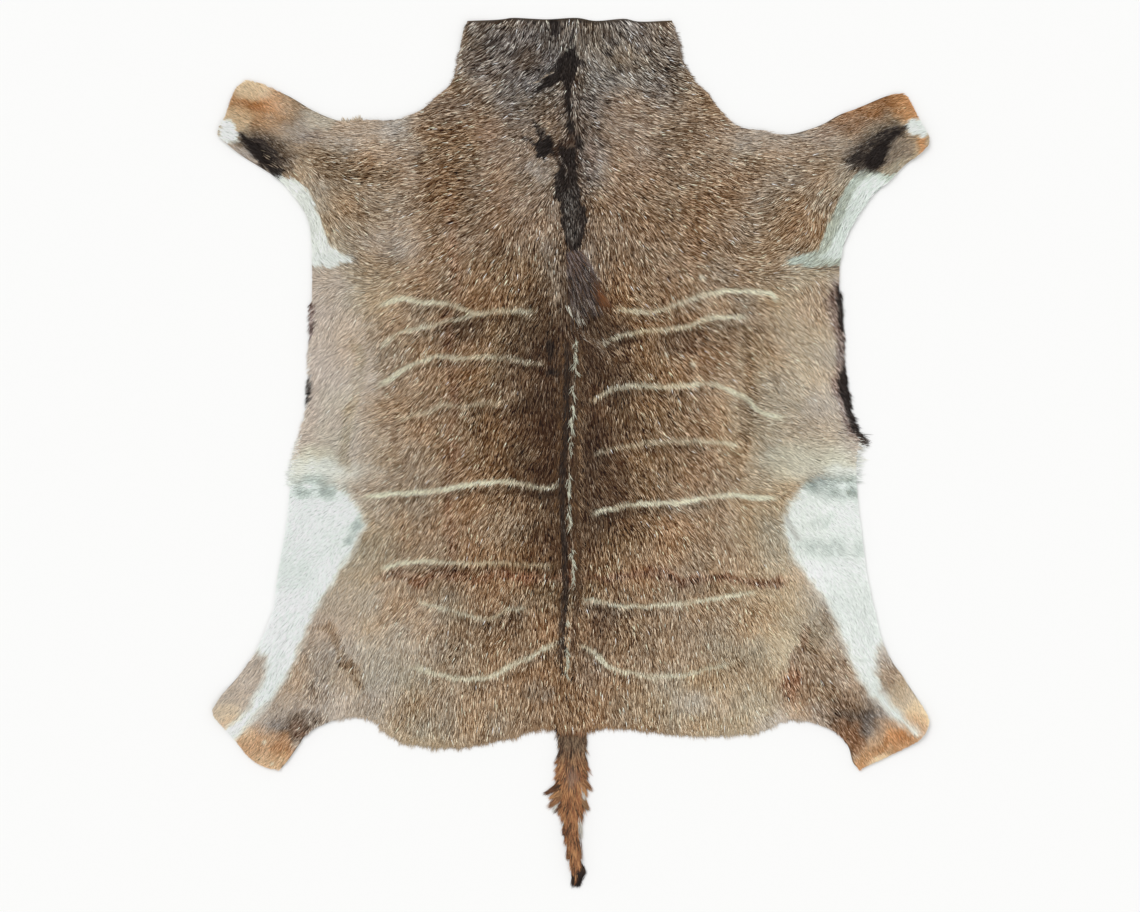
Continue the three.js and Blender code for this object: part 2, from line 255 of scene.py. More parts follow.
# Which way the hair lies: (place, heading in degrees from +X)
HAIR_HEADINGS = [
    ((0, 830), -90), ((-120, 820), -118), ((120, 820), -62), ((-190, 770), -158), ((200, 770), -18),
    ((-90, 760), -148), ((90, 760), -35),
    ((-70, 690), -160), ((80, 690), -22), ((-200, 660), -170), ((200, 660), -12),
    ((-70, 570), -148), ((70, 570), -34), ((-250, 560), -160), ((250, 560), -22), ((-400, 600), -175),
    ((410, 590), -8), ((-480, 620), 176), ((490, 610), 4), ((-640, 670), 152), ((650, 660), 22),
    ((-580, 560), 132), ((-530, 510), 124), ((-500, 440), 104), ((590, 565), 46), ((540, 505), 58),
    ((510, 440), 76), ((-300, 430), -140), ((300, 430), -35), ((-420, 440), 150), ((420, 440), 30),
    ((0, 450), -88), ((30, 330), -66), ((-60, 330), -108),
    ((-130, 230), -116), ((-130, -50), -116), ((130, 230), -58), ((130, -50), -58),
    ((-270, 230), -128), ((-270, -40), -126), ((270, 230), -46), ((270, -40), -48),
    ((-400, 230), -140), ((-410, 30), -146), ((400, 230), -40), ((410, 30), -28),
    ((-500, 260), -124), ((-505, 120), -128), ((-520, -10), -172), ((-540, -120), -140),
    ((510, 300), -58), ((520, 130), -52), ((545, 20), -6), ((540, -110), -40),
    ((0, 100), -90), ((0, -200), -90), ((0, -400), -90), ((-170, -320), -104), ((170, -320), -76),
    ((-350, -260), -122), ((350, -260), -58), ((-470, -330), -118), ((470, -330), -58),
    ((-340, -440), -106), ((340, -440), -76), ((-150, -500), -96), ((150, -500), -84),
    ((-280, -560), -96), ((280, -545), -82), ((-430, -500), -112), ((430, -500), -66),
    ((-540, -330), -130), ((560, -330), -56), ((-560, -500), -124), ((570, -500), -58),
    ((-640, -560), -132), ((650, -550), -52), ((0, -600), -90), ((0, -800), -90),
]

lie_east, lie_north = np.zeros(grid_x.shape), np.zeros(grid_x.shape)
for (hx, hy), degrees in HAIR_HEADINGS:
    weight = 1 / ((grid_x - hx) ** 2 + (grid_y - hy) ** 2 + 1800) ** 2
    lie_east += weight * math.cos(math.radians(degrees))
    lie_north += weight * math.sin(math.radians(degrees))
lie_length = np.hypot(lie_east, lie_north)
lie_east, lie_north = lie_east / lie_length, lie_north / lie_length


def hair_heading(x, y):
    """Direction the hair points, in radians."""
    return np.arctan2(look_up(lie_north, x, y), look_up(lie_east, x, y))


def streaks(wide, long, seed):
    """Random light and dark drawn out along the lie of the hair, as a lookup field with a spread of 1."""
    start_x, start_y = np.meshgrid(np.arange(FIELD_X[0], FIELD_X[-1] + 1, STREAK_STEP),
                                   np.arange(FIELD_Y[0], FIELD_Y[-1] + 1, STREAK_STEP), indexing="ij")
    total = noise(start_x, start_y, wide, seed)
    stride = wide * 0.8
    for way in (1, -1):
        x, y = start_x.copy(), start_y.copy()
        for _ in range(round(long / 2 / stride)):
            east, north = look_up(lie_east, x, y), look_up(lie_north, x, y)
            x += way * stride * east
            y += way * stride * north
            total += noise(x, y, wide, seed)
    return (total - total.mean()) / total.std()


fine_streaks = streaks(2.6, 16, 201)


# Hair colours
HAIR = {
    "sable": "#231c19",  # mane mark, leg patches, belly fringe
    "umber": "#523f31",
    "walnut": "#49321f",  # both sides of the spine
    "bark": "#5c524b",  # neck
    "drab": "#7e776e",  # paler neck
    "brown": "#755738",
    "fawn": "#947658",
    "taupe": "#907e6e",
    "stone": "#9f886e",
    "sand": "#b4a48a",
    "ash": "#c0b4a6",
    "russet": "#7b5136",
    "tan": "#b38860",
    "orange": "#b27440",
    "cream": "#d6d6c4",
    "chalk": "#e9f0ec",
    "ivory": "#dfdfc8",  # stripes
    "lichen": "#bac6bc",
    "mauve": "#83746f",
    "plum": "#66504a",  # where the belly fringe thins out
    "blush": "#cfc2b5",  # flank
    "slate": "#97a39b",  # upper edge of the groins, and painted shade in the left groin's crease
    "rust": "#7f4c26",
    "apricot": "#cd9a69",  # leg ends
    "straw": "#e6d2b0",
    "pearl": "#e6ebe6",
}
HAIR = {name: srgb(code) for name, code in HAIR.items()}

# Tone from the spine outwards, by how far out the hair is (after SADDLE has stretched that).
OUTWARDS = [(0, "walnut"), (60, "walnut"), (150, "brown"), (235, "fawn"), (340, "stone"), (440, "sand"),
            (500, "ash")]
# The dark saddle along the back: (station, what is added to how far out, and its scale).
SADDLE = [(870, 200, 0.2), (620, 190, 0.35), (450, 150, 0.5), (300, 45, 0.92), (220, 12, 0.95),
          (120, 5, 0.98), (0, 0, 1.02), (-170, 40, 0.98), (-260, 115, 0.78), (-350, 190, 0.6),
          (-520, 195, 0.7), (-600, 200, 0.7)]

# Soft areas laid over that, in order: (middle, half sizes, turn in degrees, tone, strength).
AREAS = [
    ((0, 560), (560, 230), 0, "taupe", 0.55),
    ((0, 800), (270, 130), 0, "drab", 0.75),
    ((0, 860), (230, 50), 0, "bark", 0.6),
    ((-110, 800), (120, 75), 0, "bark", 0.85),
    ((-60, 720), (150, 60), 10, "bark", 0.3),
    ((20, 640), (60, 130), 0, "bark", 0.65),
    ((10, 470), (90, 130), 0, "bark", 0.15),
    ((-250, 650), (110, 50), 0, "fawn", 0.5),
    ((250, 480), (110, 90), 0, "fawn", 0.5),
    ((470, 450), (60, 60), 0, "fawn", 0.5),
    ((400, 600), (130, 50), -10, "stone", 0.5),
    ((-380, 615), (110, 50), 10, "ash", 0.4),
    ((-330, 470), (150, 90), 0, "stone", 0.3),
    ((-470, 160), (75, 230), 0, "blush", 0.68),
    ((-440, 70), (55, 140), 0, "ash", 0.2),
    ((-390, 370), (70, 40), 0, "stone", 0.6),
    ((-400, -100), (60, 60), 0, "ash", 0.5),
    ((-150, -115), (110, 45), 0, "fawn", 0.5),
    ((-490, 10), (90, 75), 0, "ash", 0.8),
    ((-510, -30), (70, 40), 0, "cream", 0.6),
    ((490, 230), (80, 160), 0, "sand", 0.5),
    ((500, 10), (110, 70), 0, "ash", 0.8),
    ((540, -30), (60, 35), 0, "cream", 0.5),
    ((370, 60), (90, 120), 0, "sand", 0.6),
    ((420, -120), (110, 120), 20, "sand", 0.75),
    ((-420, -130), (80, 110), 0, "stone", 0.4),
    ((480, 30), (90, 60), 0, "sand", 0.5),
    ((-380, -340), (140, 110), -30, "ash", 0.45),
    ((400, -330), (110, 100), 30, "sand", 0.45),
    ((-250, -520), (190, 60), 0, "stone", 0.6),
    ((270, -500), (180, 60), 0, "sand", 0.55),
    ((40, -420), (45, 70), 0, "taupe", 0.5),
    ((110, -350), (90, 60), 0, "fawn", 0.5),
    ((-130, -350), (90, 50), 0, "fawn", 0.5),
    ((460, -470), (60, 60), 0, "fawn", 0.5),
    ((0, -510), (70, 60), 0, "fawn", 0.4),
    ((-530, -440), (70, 100), -35, "stone", 0.4),
    ((530, -470), (80, 90), 30, "fawn", 0.65),
    ((-645, -475), (46, 90), -38, "ash", 0.45),
    ((-696, -520), (34, 34), 0, "straw", 0.5),
    ((650, -455), (26, 60), 30, "fawn", 0.5),
    ((676, -490), (34, 60), 25, "straw", 0.5),
    ((702, -526), (34, 30), 0, "straw", 0.95),
    ((570, -530), (84, 42), -10, "walnut", 0.42),
    ((574, -532), (52, 20), -10, "sable", 0.28),
    ((-546, -548), (60, 34), 14, "walnut", 0.5),
    ((-628, -606), (110, 60), -25, "apricot", 0.65),
    ((-580, -592), (24, 36), 30, "orange", 0.4),
    ((-606, -616), (60, 24), -20, "straw", 0.4),
    ((-670, -556), (34, 30), -40, "straw", 0.35),
    ((628, -600), (110, 56), 25, "apricot", 0.75),
    ((552, -566), (36, 34), -20, "rust", 0.7),
    ((650, -576), (50, 20), 25, "orange", 0.45),
    ((588, -614), (30, 22), 20, "apricot", 0.6),
    ((622, -606), (34, 16), 25, "straw", 0.85),
    ((-630, 700), (86, 56), -28, "apricot", 0.6),
    ((-628, 697), (56, 16), -23, "orange", 0.45),
    ((-644, 732), (54, 26), -25, "straw", 0.8),
    ((-594, 706), (40, 26), -28, "blush", 0.25),
    ((-668, 668), (30, 26), 0, "straw", 0.5),
    ((-555, 648), (64, 30), -25, "fawn", 0.35),
    ((-450, 652), (170, 40), 4, "ash", 0.75),
    ((-485, 676), (60, 26), 15, "cream", 0.35),
    ((450, 628), (150, 44), -4, "ash", 0.6),
    ((-450, 570), (80, 36), -10, "brown", 0.5),
    ((-655, 612), (60, 22), -38, "umber", 0.4),
    ((-650, 600), (80, 12), -38, "blush", 0.6),
    ((600, 690), (130, 44), 24, "russet", 0.35),
    ((622, 706), (96, 26), 22, "orange", 0.5),
    ((684, 696), (40, 40), 24, "apricot", 0.8),
    ((674, 712), (30, 20), 0, "apricot", 0.5),
    ((644, 606), (60, 26), 44, "taupe", 0.5),
    ((704, 620), (16, 28), 0, "apricot", 0.8),
    ((-30, 340), (14, 80), 0, "stone", 0.45),
    ((36, 385), (16, 44), 10, "ash", 0.7),
    ((-34, 566), (12, 20), 0, "ash", 0.45),
    ((-44, 440), (20, 60), 0, "ash", 0.4),
    ((-450, 60), (110, 240), 0, "blush", 0.25),
    ((-400, 330), (70, 60), 0, "sand", 0.4),
    ((-420, -180), (70, 90), 0, "sand", 0.5),
    ((200, 480), (110, 90), 0, "brown", 0.3),
    ((470, 480), (90, 60), 0, "brown", 0.3),
    ((-140, -350), (70, 60), 0, "brown", 0.3),
    ((100, -350), (70, 60), 0, "brown", 0.35),
    ((0, -400), (60, 40), 0, "brown", 0.3),
    ((480, 0), (80, 50), 0, "cream", 0.3),
    ((-510, -20), (60, 40), 0, "cream", 0.4),
    ((-110, 804), (34, 9), 0, "sable", 0.6),
    ((-158, 824), (22, 18), 0, "sable", 0.35),
    ((87, 825), (16, 12), 0, "sable", 0.45),
    ((78, 804), (13, 9), 0, "sable", 0.5),
    ((150, 802), (16, 11), 0, "sable", 0.45),
    ((-130, 676), (12, 22), 0, "umber", 0.4),
    ((144, 686), (14, 10), 0, "umber", 0.4),
    ((-170, 760), (16, 10), 0, "umber", 0.4),
    ((120, 760), (22, 10), 0, "umber", 0.35),
    ((190, 775), (14, 30), 0, "umber", 0.5),
    ((40, 588), (14, 34), 0, "russet", 0.3),
    ((-170, 640), (30, 22), 0, "russet", 0.25),
    ((-100, 540), (34, 26), 0, "brown", 0.35),
    ((210, 640), (40, 24), 0, "brown", 0.3),
    ((-500, -44), (110, 34), 0, "pearl", 0.72),
    ((490, -14), (120, 46), 0, "cream", 0.5),
    ((560, -42), (50, 26), 0, "pearl", 0.75),
    ((190, 775), (70, 80), 0, "bark", 0.5),
    ((-245, 600), (70, 60), 0, "brown", 0.6),
    ((-245, 505), (66, 60), 0, "brown", 0.65),
    ((-64, 560), (26, 36), 0, "ash", 0.5),
    ((60, 580), (26, 40), 0, "ash", 0.3),
    ((58, 480), (26, 60), 0, "stone", 0.5),
    ((-345, 430), (70, 50), 0, "ash", 0.5),
    ((-145, 106), (50, 30), 0, "stone", 0.4),
    ((-145, -150), (60, 44), 0, "stone", 0.8),
    ((-222, 234), (46, 30), 0, "walnut", 0.6),
    ((218, 224), (60, 38), 0, "walnut", 0.55),
    ((70, 230), (50, 34), 0, "walnut", 0.6),
    ((455, 180), (60, 160), 0, "ash", 0.2),
    ((362, 180), (36, 70), 0, "sand", 0.4),
    ((-464, 60), (50, 80), 0, "cream", 0.3),
    ((-305, 108), (50, 40), 0, "stone", 0.4),
    ((502, -478), (44, 30), 0, "brown", 0.4),
    ((-142, 370), (60, 34), 0, "brown", 0.55),
    ((60, -330), (44, 40), 0, "walnut", 0.7),
    ((418, -372), (44, 44), 0, "straw", 0.35),
    ((260, -500), (60, 36), 0, "ash", 0.4),
    ((-34, 50), (34, 150), 0, "walnut", 0.4),
    ((-242, 690), (56, 40), 0, "bark", 0.35),
    ((256, 590), (60, 50), 0, "brown", 0.3),
    ((488, 306), (50, 44), 0, "fawn", 0.45),
    ((458, 606), (54, 26), 0, "fawn", 0.4),
    ((-302, -152), (50, 40), 0, "tan", 0.35),
    ((-342, -312), (60, 40), 0, "fawn", 0.35),
    ((-242, -312), (50, 40), 0, "sand", 0.3),
    ((310, -332), (110, 50), 0, "fawn", 0.35),
    ((-142, -332), (50, 40), 0, "walnut", 0.2),
    ((-62, -472), (40, 30), 0, "drab", 0.45),
    ((-464, 66), (26, 30), 0, "blush", 0.5),
    ((-522, 638), (30, 20), 0, "taupe", 0.5),
    ((-422, 588), (40, 26), 0, "fawn", 0.5),
    ((58, 688), (40, 50), 0, "bark", 0.3),
    ((-82, 788), (40, 30), 0, "umber", 0.3),
    ((240, 440), (170, 140), 0, "brown", 0.2),
    ((-150, 420), (130, 80), 0, "brown", 0.15),
    ((540, -495), (30, 24), 0, "umber", 0.3),
    ((-548, -552), (30, 20), 0, "russet", 0.4),
    ((-502, -472), (34, 34), 0, "taupe", 0.4),
]

# Marks with a clear edge: name, tone, strength, softness of the edge, and the corners.
PATCHES = [
    ("left groin", "chalk", 0.95, 22,
     [(-575, -58), (-520, -56), (-456, -70), (-430, -96), (-414, -120), (-414, -150), (-436, -196),
      (-464, -238), (-488, -278), (-512, -314), (-534, -360), (-550, -410), (-570, -452), (-592, -484),
      (-618, -510), (-640, -536), (-662, -562), (-678, -580), (-698, -556), (-678, -540), (-648, -508),
      (-628, -478), (-614, -446), (-608, -408), (-636, -396), (-640, -330), (-600, -150)]),
    ("left groin shade", "slate", 0.6, 26,
     [(-566, -48), (-520, -46), (-470, -50), (-450, -64), (-458, -84), (-490, -90), (-520, -84), (-545, -90),
      (-566, -84)]),
    # Painted shade along a crease in the left groin.
    ("left groin crease shade", "slate", 0.55, 9,
     [(-424, -112), (-416, -128), (-422, -150), (-444, -182), (-454, -176), (-436, -142)]),
    ("right groin", "chalk", 0.9, 22,
     [(590, -54), (520, -52), (466, -64), (438, -96), (424, -130), (424, -164), (444, -208), (478, -250),
      (512, -305), (534, -352), (552, -398), (574, -449), (604, -490), (632, -518), (670, -553),
      (690, -570), (702, -560), (678, -534), (647, -503), (624, -474), (612, -440), (609, -402),
      (626, -380), (640, -380), (620, -260), (600, -150)]),
    ("right groin shade", "slate", 0.75, 26,
     [(580, -46), (520, -44), (474, -54), (470, -66), (500, -84), (540, -94), (580, -92)]),
    ("right groin low shade", "slate", 0.35, 28,
     [(590, -176), (530, -170), (470, -176), (456, -186), (480, -204), (530, -206), (590, -202)]),
    ("right groin middle shade", "slate", 0.3, 20,
     [(520, -122), (490, -126), (484, -142), (500, -152), (524, -144)]),
    ("right groin marks", "drab", 0.3, 8,
     [(428, -118), (436, -122), (446, -150), (458, -172), (450, -176), (438, -156), (428, -136)]),
    ("left armpit", "chalk", 0.85, 6,
     [(-606, 566), (-591, 570), (-578, 560), (-561, 553), (-543, 541), (-528, 526), (-517, 508), (-510, 490),
      (-498, 464), (-490, 440), (-482, 418), (-464, 402), (-442, 394), (-440, 384), (-480, 374),
      (-530, 376), (-540, 430), (-560, 500), (-590, 530), (-620, 550)]),
    ("right armpit", "lichen", 0.85, 7,
     [(612, 566), (594, 572), (570, 558), (554, 542), (543, 522), (532, 498), (518, 474), (510, 458),
      (504, 434), (494, 416), (474, 402), (438, 392), (440, 380), (500, 374), (560, 376), (600, 480),
      (650, 545), (650, 560), (630, 556)]),
    ("right armpit light", "chalk", 0.7, 12,
     [(606, 560), (580, 548), (560, 520), (546, 480), (530, 440), (516, 410), (500, 398), (500, 390),
      (560, 390), (600, 480), (640, 540), (626, 552)]),
    ("left foreleg spot", "pearl", 1.0, 7,
     [(-700, 668), (-681, 668), (-671, 656), (-663, 640), (-668, 628), (-682, 624), (-706, 630)]),
    ("right foreleg spot", "pearl", 1.0, 8,
     [(668, 658), (681, 671), (706, 670), (717, 646), (710, 633), (690, 636), (676, 643)]),
    ("left foreleg shade", "sable", 0.5, 36,
     [(-650, 646), (-630, 652), (-600, 642), (-574, 620), (-556, 590), (-560, 568), (-588, 562), (-616, 590),
      (-640, 616)]),
    ("left foreleg dark", "sable", 0.96, 13,
     [(-668, 650), (-654, 637), (-642, 627), (-628, 628), (-614, 620), (-604, 606), (-594, 592), (-582, 578),
      (-574, 564), (-586, 550), (-606, 566), (-624, 583), (-638, 600), (-650, 616), (-661, 632)]),
    ("right foreleg shade", "sable", 0.5, 36,
     [(650, 664), (600, 652), (562, 618), (544, 584), (556, 568), (584, 564), (624, 578), (642, 610),
      (652, 640)]),
    ("right foreleg dark", "sable", 0.95, 13,
     [(670, 654), (654, 652), (636, 643), (620, 629), (604, 612), (590, 600), (590, 580), (594, 568),
      (610, 565), (625, 578), (634, 594), (637, 611), (643, 625), (660, 638)]),
    ("right foreleg side", "sable", 0.6, 12,
     [(596, 604), (570, 602), (548, 588), (554, 572), (578, 574), (598, 576)]),
    ("neck mark", "sable", 0.95, 5,
     [(-10, 808), (0, 813), (10, 808), (14, 790), (13, 770), (10, 754), (4, 742), (-2, 728), (-1, 700),
      (4, 660), (7, 620), (-8, 618), (-8, 660), (-11, 700), (-13, 728), (-20, 744), (-36, 738), (-68, 722),
      (-76, 721), (-58, 741), (-42, 756), (-30, 768), (-28, 784), (-14, 797)]),
    ("neck mark strokes", "sable", 0.55, 4, [(-60, 760), (-44, 768), (-24, 784), (-14, 796), (-20, 770)]),
    ("neck mark spur", "sable", 0.7, 5, [(8, 790), (20, 782), (32, 776), (18, 774), (8, 776)]),
    ("withers blotch", "sable", 0.95, 4,
     [(-78, 618), (-68, 622), (-66, 636), (-56, 626), (-46, 634), (-40, 626), (-34, 622), (-40, 608),
      (-34, 596), (-48, 598), (-56, 584), (-60, 594), (-72, 590), (-68, 602)]),
    ("withers blotch strokes", "sable", 0.7, 4,
     [(-82, 668), (-74, 664), (-60, 646), (-44, 630), (-56, 626), (-70, 642)]),
    ("withers blotch side strokes", "sable", 0.5, 4, [(-100, 634), (-80, 628), (-66, 618), (-78, 618)]),
    ("withers top", "umber", 0.92, 9,
     [(-38, 614), (-20, 622), (-10, 636), (10, 636), (16, 616), (16, 590), (10, 560), (-20, 560),
      (-30, 584)]),
    ("withers spot", "sable", 0.85, 5, [(8, 630), (18, 632), (24, 616), (18, 604), (9, 612)]),
    ("withers line", "sable", 0.75, 4, [(-34, 590), (-26, 586), (-18, 566), (-14, 548), (-22, 556)]),
    ("withers mark", "sable", 0.86, 4,
     [(-24, 612), (8, 608), (8, 590), (14, 576), (12, 560), (16, 548), (14, 536), (20, 524), (19, 506),
      (22, 496), (32, 490), (28, 478), (34, 464), (29, 452), (30, 436), (22, 428), (20, 414), (10, 404),
      (6, 394), (-4, 410), (-12, 420), (-13, 438), (-19, 452), (-18, 474), (-25, 488), (-24, 500),
      (-33, 508), (-29, 522), (-36, 534), (-29, 546), (-30, 556), (-20, 562), (-26, 578), (-20, 592)]),
    ("withers mark core", "drab", 0.3, 12,
     [(-20, 520), (6, 530), (14, 500), (16, 470), (18, 440), (6, 414), (-6, 430), (-10, 470), (-14, 500)]),
    ("neck smudge", "sable", 0.8, 6, [(-45, 868), (-28, 868), (-20, 846), (-30, 830), (-41, 840)]),
    ("right belly thin fringe", "plum", 0.6, 16,
     [(530, 340), (512, 304), (520, 262), (531, 220), (530, 180), (524, 140), (532, 110), (541, 76),
      (553, 46), (572, 24), (600, 10), (600, 60), (570, 110), (565, 200), (560, 300), (550, 350)]),
    ("right belly fringe", "sable", 0.94, 6,
     [(536, 332), (531, 300), (534, 266), (542, 240), (560, 240), (560, 330)]),
    ("right belly lower fringe", "sable", 0.94, 6,
     [(544, 176), (537, 160), (537, 132), (544, 104), (553, 74), (563, 48), (576, 32), (600, 14), (600, 60),
      (570, 110), (565, 170)]),
    ("left belly shade", "plum", 0.7, 6, [(-515, 296), (-519, 240), (-522, 218), (-530, 218), (-530, 300)]),
    ("left belly dark", "sable", 0.75, 6,
     [(-524, 152), (-520, 128), (-524, 100), (-533, 84), (-545, 80), (-540, 150)]),
    ("left scar", "sable", 0.6, 4, [(-48, 224), (-40, 226), (-33, 208), (-34, 190), (-42, 184), (-50, 200)]),
    ("left scar shadow", "sable", 0.8, 5, [(-58, 162), (-30, 168), (-14, 162), (-30, 154), (-50, 156)]),
]

# The white line along the spine
SPINE = [(8, 236), (7, 200), (9, 166), (6, 138), (4, 100), (2, 60), (0, 24), (-2, -20), (-4, -38),
         (-4, -80), (-4, -110), (0, -156), (2, -190), (4, -238), (4, -282), (0, -310), (-8, -340),
         (-6, -376), (-10, -442)]

# Narrow bands and lines: (name, tone, strength at the first and the last knot, half width, knots).
STRIPES = [
    ("L1", "ivory", (0.85, 0.5), 6.5, [(-398, 292), (-366, 302), (-334, 309), (-302, 302), (-264, 300),
                                       (-226, 292), (-188, 278), (-144, 284), (-104, 282), (-60, 285)]),
    ("L2", "ivory", (0.6, 0.55), 5.6, [(-388, 208), (-350, 238), (-322, 246), (-284, 254), (-246, 264),
                                       (-188, 276)]),
    ("L3", "ivory", (0.88, 0.45), 6.3, [(-396, 132), (-366, 144), (-334, 168), (-302, 184), (-258, 194),
                                        (-220, 190), (-176, 192), (-124, 188), (-80, 180), (-42, 176)]),
    ("L4", "ivory", (0.5, 0.35), 5.9, [(-354, 62), (-322, 74), (-284, 84), (-258, 98), (-220, 90), (-182, 98),
                                       (-130, 98)]),
    ("L5", "ivory", (0.92, 0.85), 7.1, [(-430, -90), (-366, -82), (-316, -78), (-264, -74), (-214, -64),
                                        (-162, -58), (-118, -58), (-80, -66), (-38, -68), (-12, -46)]),
    ("L6", "ivory", (0.85, 0.4), 5.9, [(-392, -232), (-340, -220), (-298, -216), (-250, -218), (-184, -222),
                                       (-128, -220), (-70, -224), (-18, -224)]),
    ("L7", "ivory", (0.6, 0.5), 5.6, [(-312, -294), (-278, -306), (-234, -318), (-168, -332), (-136, -318),
                                      (-82, -308)]),
    ("L8", "ivory", (0.6, 0.85), 6.7, [(-328, -424), (-278, -438), (-234, -450), (-200, -452), (-160, -446),
                                       (-116, -424), (-70, -400), (-22, -374), (-8, -362)]),
    ("R1", "ivory", (0.6, 0.92), 6.7, [(80, 290), (112, 284), (148, 280), (184, 287), (222, 300), (268, 316),
                                       (314, 324), (360, 322), (398, 320), (424, 296)]),
    ("R2", "ivory", (0.6, 0.8), 6.3, [(52, 206), (66, 217), (104, 236), (148, 244), (192, 247), (238, 254),
                                      (276, 268), (314, 272), (360, 272)]),
    ("R3", "ivory", (0.55, 0.85), 6.5, [(30, 94), (54, 112), (80, 126), (116, 133), (148, 134), (176, 132),
                                        (222, 134), (268, 138), (304, 130), (346, 112), (380, 84),
                                        (440, 68)]),
    ("R4", "ivory", (0.4, 0.6), 6.3, [(34, -6), (92, 8), (138, 18), (192, 24), (246, 24), (308, 20),
                                      (352, 10)]),
    ("R5", "ivory", (0.8, 0.92), 6.7, [(30, -124), (86, -110), (130, -102), (192, -100), (246, -94),
                                       (292, -86), (330, -84), (380, -88), (424, -88)]),
    ("R6", "ivory", (0.75, 0.8), 5.9, [(8, -292), (60, -298), (98, -306), (160, -306), (218, -302),
                                       (290, -290), (378, -276)]),
    ("R8", "ivory", (0.85, 0.6), 6.3, [(8, -376), (48, -404), (78, -428), (120, -440), (158, -446),
                                       (200, -446), (238, -442), (280, -430), (330, -418)]),
    ("left of the spine", "sable", (0.75, 0.7), 6.5, [(-6, 236), (-8, 176), (-10, 100), (-12, 24),
                                                      (-18, -38), (-18, -110), (-13, -190), (-11, -282),
                                                      (-20, -360), (-22, -430)]),
    ("right of the spine", "walnut", (0.7, 0.7), 8.0, [(20, 236), (16, 176), (14, 100), (10, 24), (8, -38),
                                                       (8, -110), (12, -190), (14, -282), (6, -360),
                                                       (0, -430)]),
    ("spine", "cream", (0.3, 0.2), 2.2, SPINE),
    ("right neck line", "sable", (0.55, 0.75), 3.2, [(11, 868), (7, 848), (2, 830), (-4, 812)]),
    ("left neck line", "sable", (0.6, 0.5), 2.6, [(-36, 846), (-32, 828), (-24, 814), (-11, 803)]),
    ("blade edge", "ash", (0.35, 0.35), 2.0, [(-24, 596), (-14, 580), (-8, 562), (-12, 552)]),
]

# Small pale scars: (place, half size).
SCARS = [((264, 350), 7.0), ((246, 176), 7.0), ((192, 196), 5.0), ((-614, -578), 5.0),
         ((-598, -620), 4.0)]

# Broad soft bands where the hair was pressed over a fold: (tone, strength, half width, knots).
BANDS = [
    ("russet", 0.75, 12, [(-392, -252), (-200, -246), (0, -248), (200, -250), (300, -252), (440, -250)]),
    ("umber", 0.35, 7, [(20, -250), (200, -254), (300, -254), (430, -252)]),
    ("russet", 0.45, 11, [(-240, 510), (-238, 200), (-240, 0), (-238, -240)]),
    ("sand", 0.7, 13, [(-436, 230), (-434, 100), (-446, 0), (-446, -50)]),
    ("brown", 0.5, 17, [(360, 250), (356, 120), (346, 20), (344, -60)]),
    ("brown", 0.55, 12, [(-512, -328), (-470, -384), (-436, -426), (-412, -474)]),
    ("russet", 0.6, 12, [(478, -330), (456, -396), (446, -440), (436, -496)]),
    ("brown", 0.4, 22, [(520, -300), (500, -350), (470, -400)]),
    ("sand", 0.5, 20, [(-440, -130), (-400, -170), (-430, -230)]),
    ("drab", 0.5, 10, [(-520, 386), (-470, 384), (-420, 386)]),
    ("drab", 0.4, 9, [(470, 372), (500, 376), (545, 378)]),
]


def mark_distance(x, y, knots, step=14.0):
    """Distance to a smooth line and the share of its length."""
    line = smooth_line(knots, step)
    best, where = np.full(np.shape(x), 1e9), np.zeros(np.shape(x))
    for k, (a, b) in enumerate(zip(line[:-1], line[1:])):
        away, share = distance_to_line(x, y, a, b)
        nearer = away < best
        best[nearer] = away[nearer]
        where[nearer] = (k + share[nearer]) / (len(line) - 1)
    return best, where


def patch_depth(x, y, corners):
    """How far inside a patch, negative outside."""
    best = np.full(np.shape(x), 1e9)
    loop = np.array(corners, float)
    for a, b in zip(loop, np.roll(loop, -1, axis=0)):
        away, _ = distance_to_line(x, y, a, b)
        best = np.minimum(best, away)
    return np.where(inside_loop(x, y, loop), best, -best)


def near(x, y, corners, margin):
    """Which points are in the box round some corners."""
    c = np.array(corners, float)
    return ((x > c[:, 0].min() - margin) & (x < c[:, 0].max() + margin)
            & (y > c[:, 1].min() - margin) & (y < c[:, 1].max() + margin))


def stripe_share(x, y, first, last, half, knots):
    """How strongly a narrow band covers each point."""
    shift_x, shift_y = 1.6 * noise(x, y, 21, 20), 1.6 * noise(x, y, 21, 21)
    away, where = mark_distance(x + shift_x, y + shift_y, knots)
    away += 0.8 * look_up(fine_streaks, x, y, STREAK_STEP)
    ends = ease(np.minimum(where, 1 - where) * 14)
    strength = (first + (last - first) * where) * np.clip(0.97 + 0.25 * noise(x, y, 34, 22), 0.4, 1)
    return strength * ends * (1 - ease((away / half - 0.4) / 0.9))


def white_stripe(x, y, below=0.0, wider=1.0):
    """The strongest share of any white stripe that lies `below` higher up the hide than each point."""
    best = np.zeros(np.shape(x))
    for _, tone, (first, last), half, knots in STRIPES:
        if tone == "ivory":
            at = near(x, y, knots, 30)
            share = stripe_share(x[at], y[at] + below, first, last, half * wider, knots)
            best[at] = np.maximum(best[at], share)
    return best


def lay_tone(colour, at, tone, share):
    """Moves the colour of some points a share of the way to a tone."""
    colour[at] += (HAIR[tone] - colour[at]) * share[:, None]


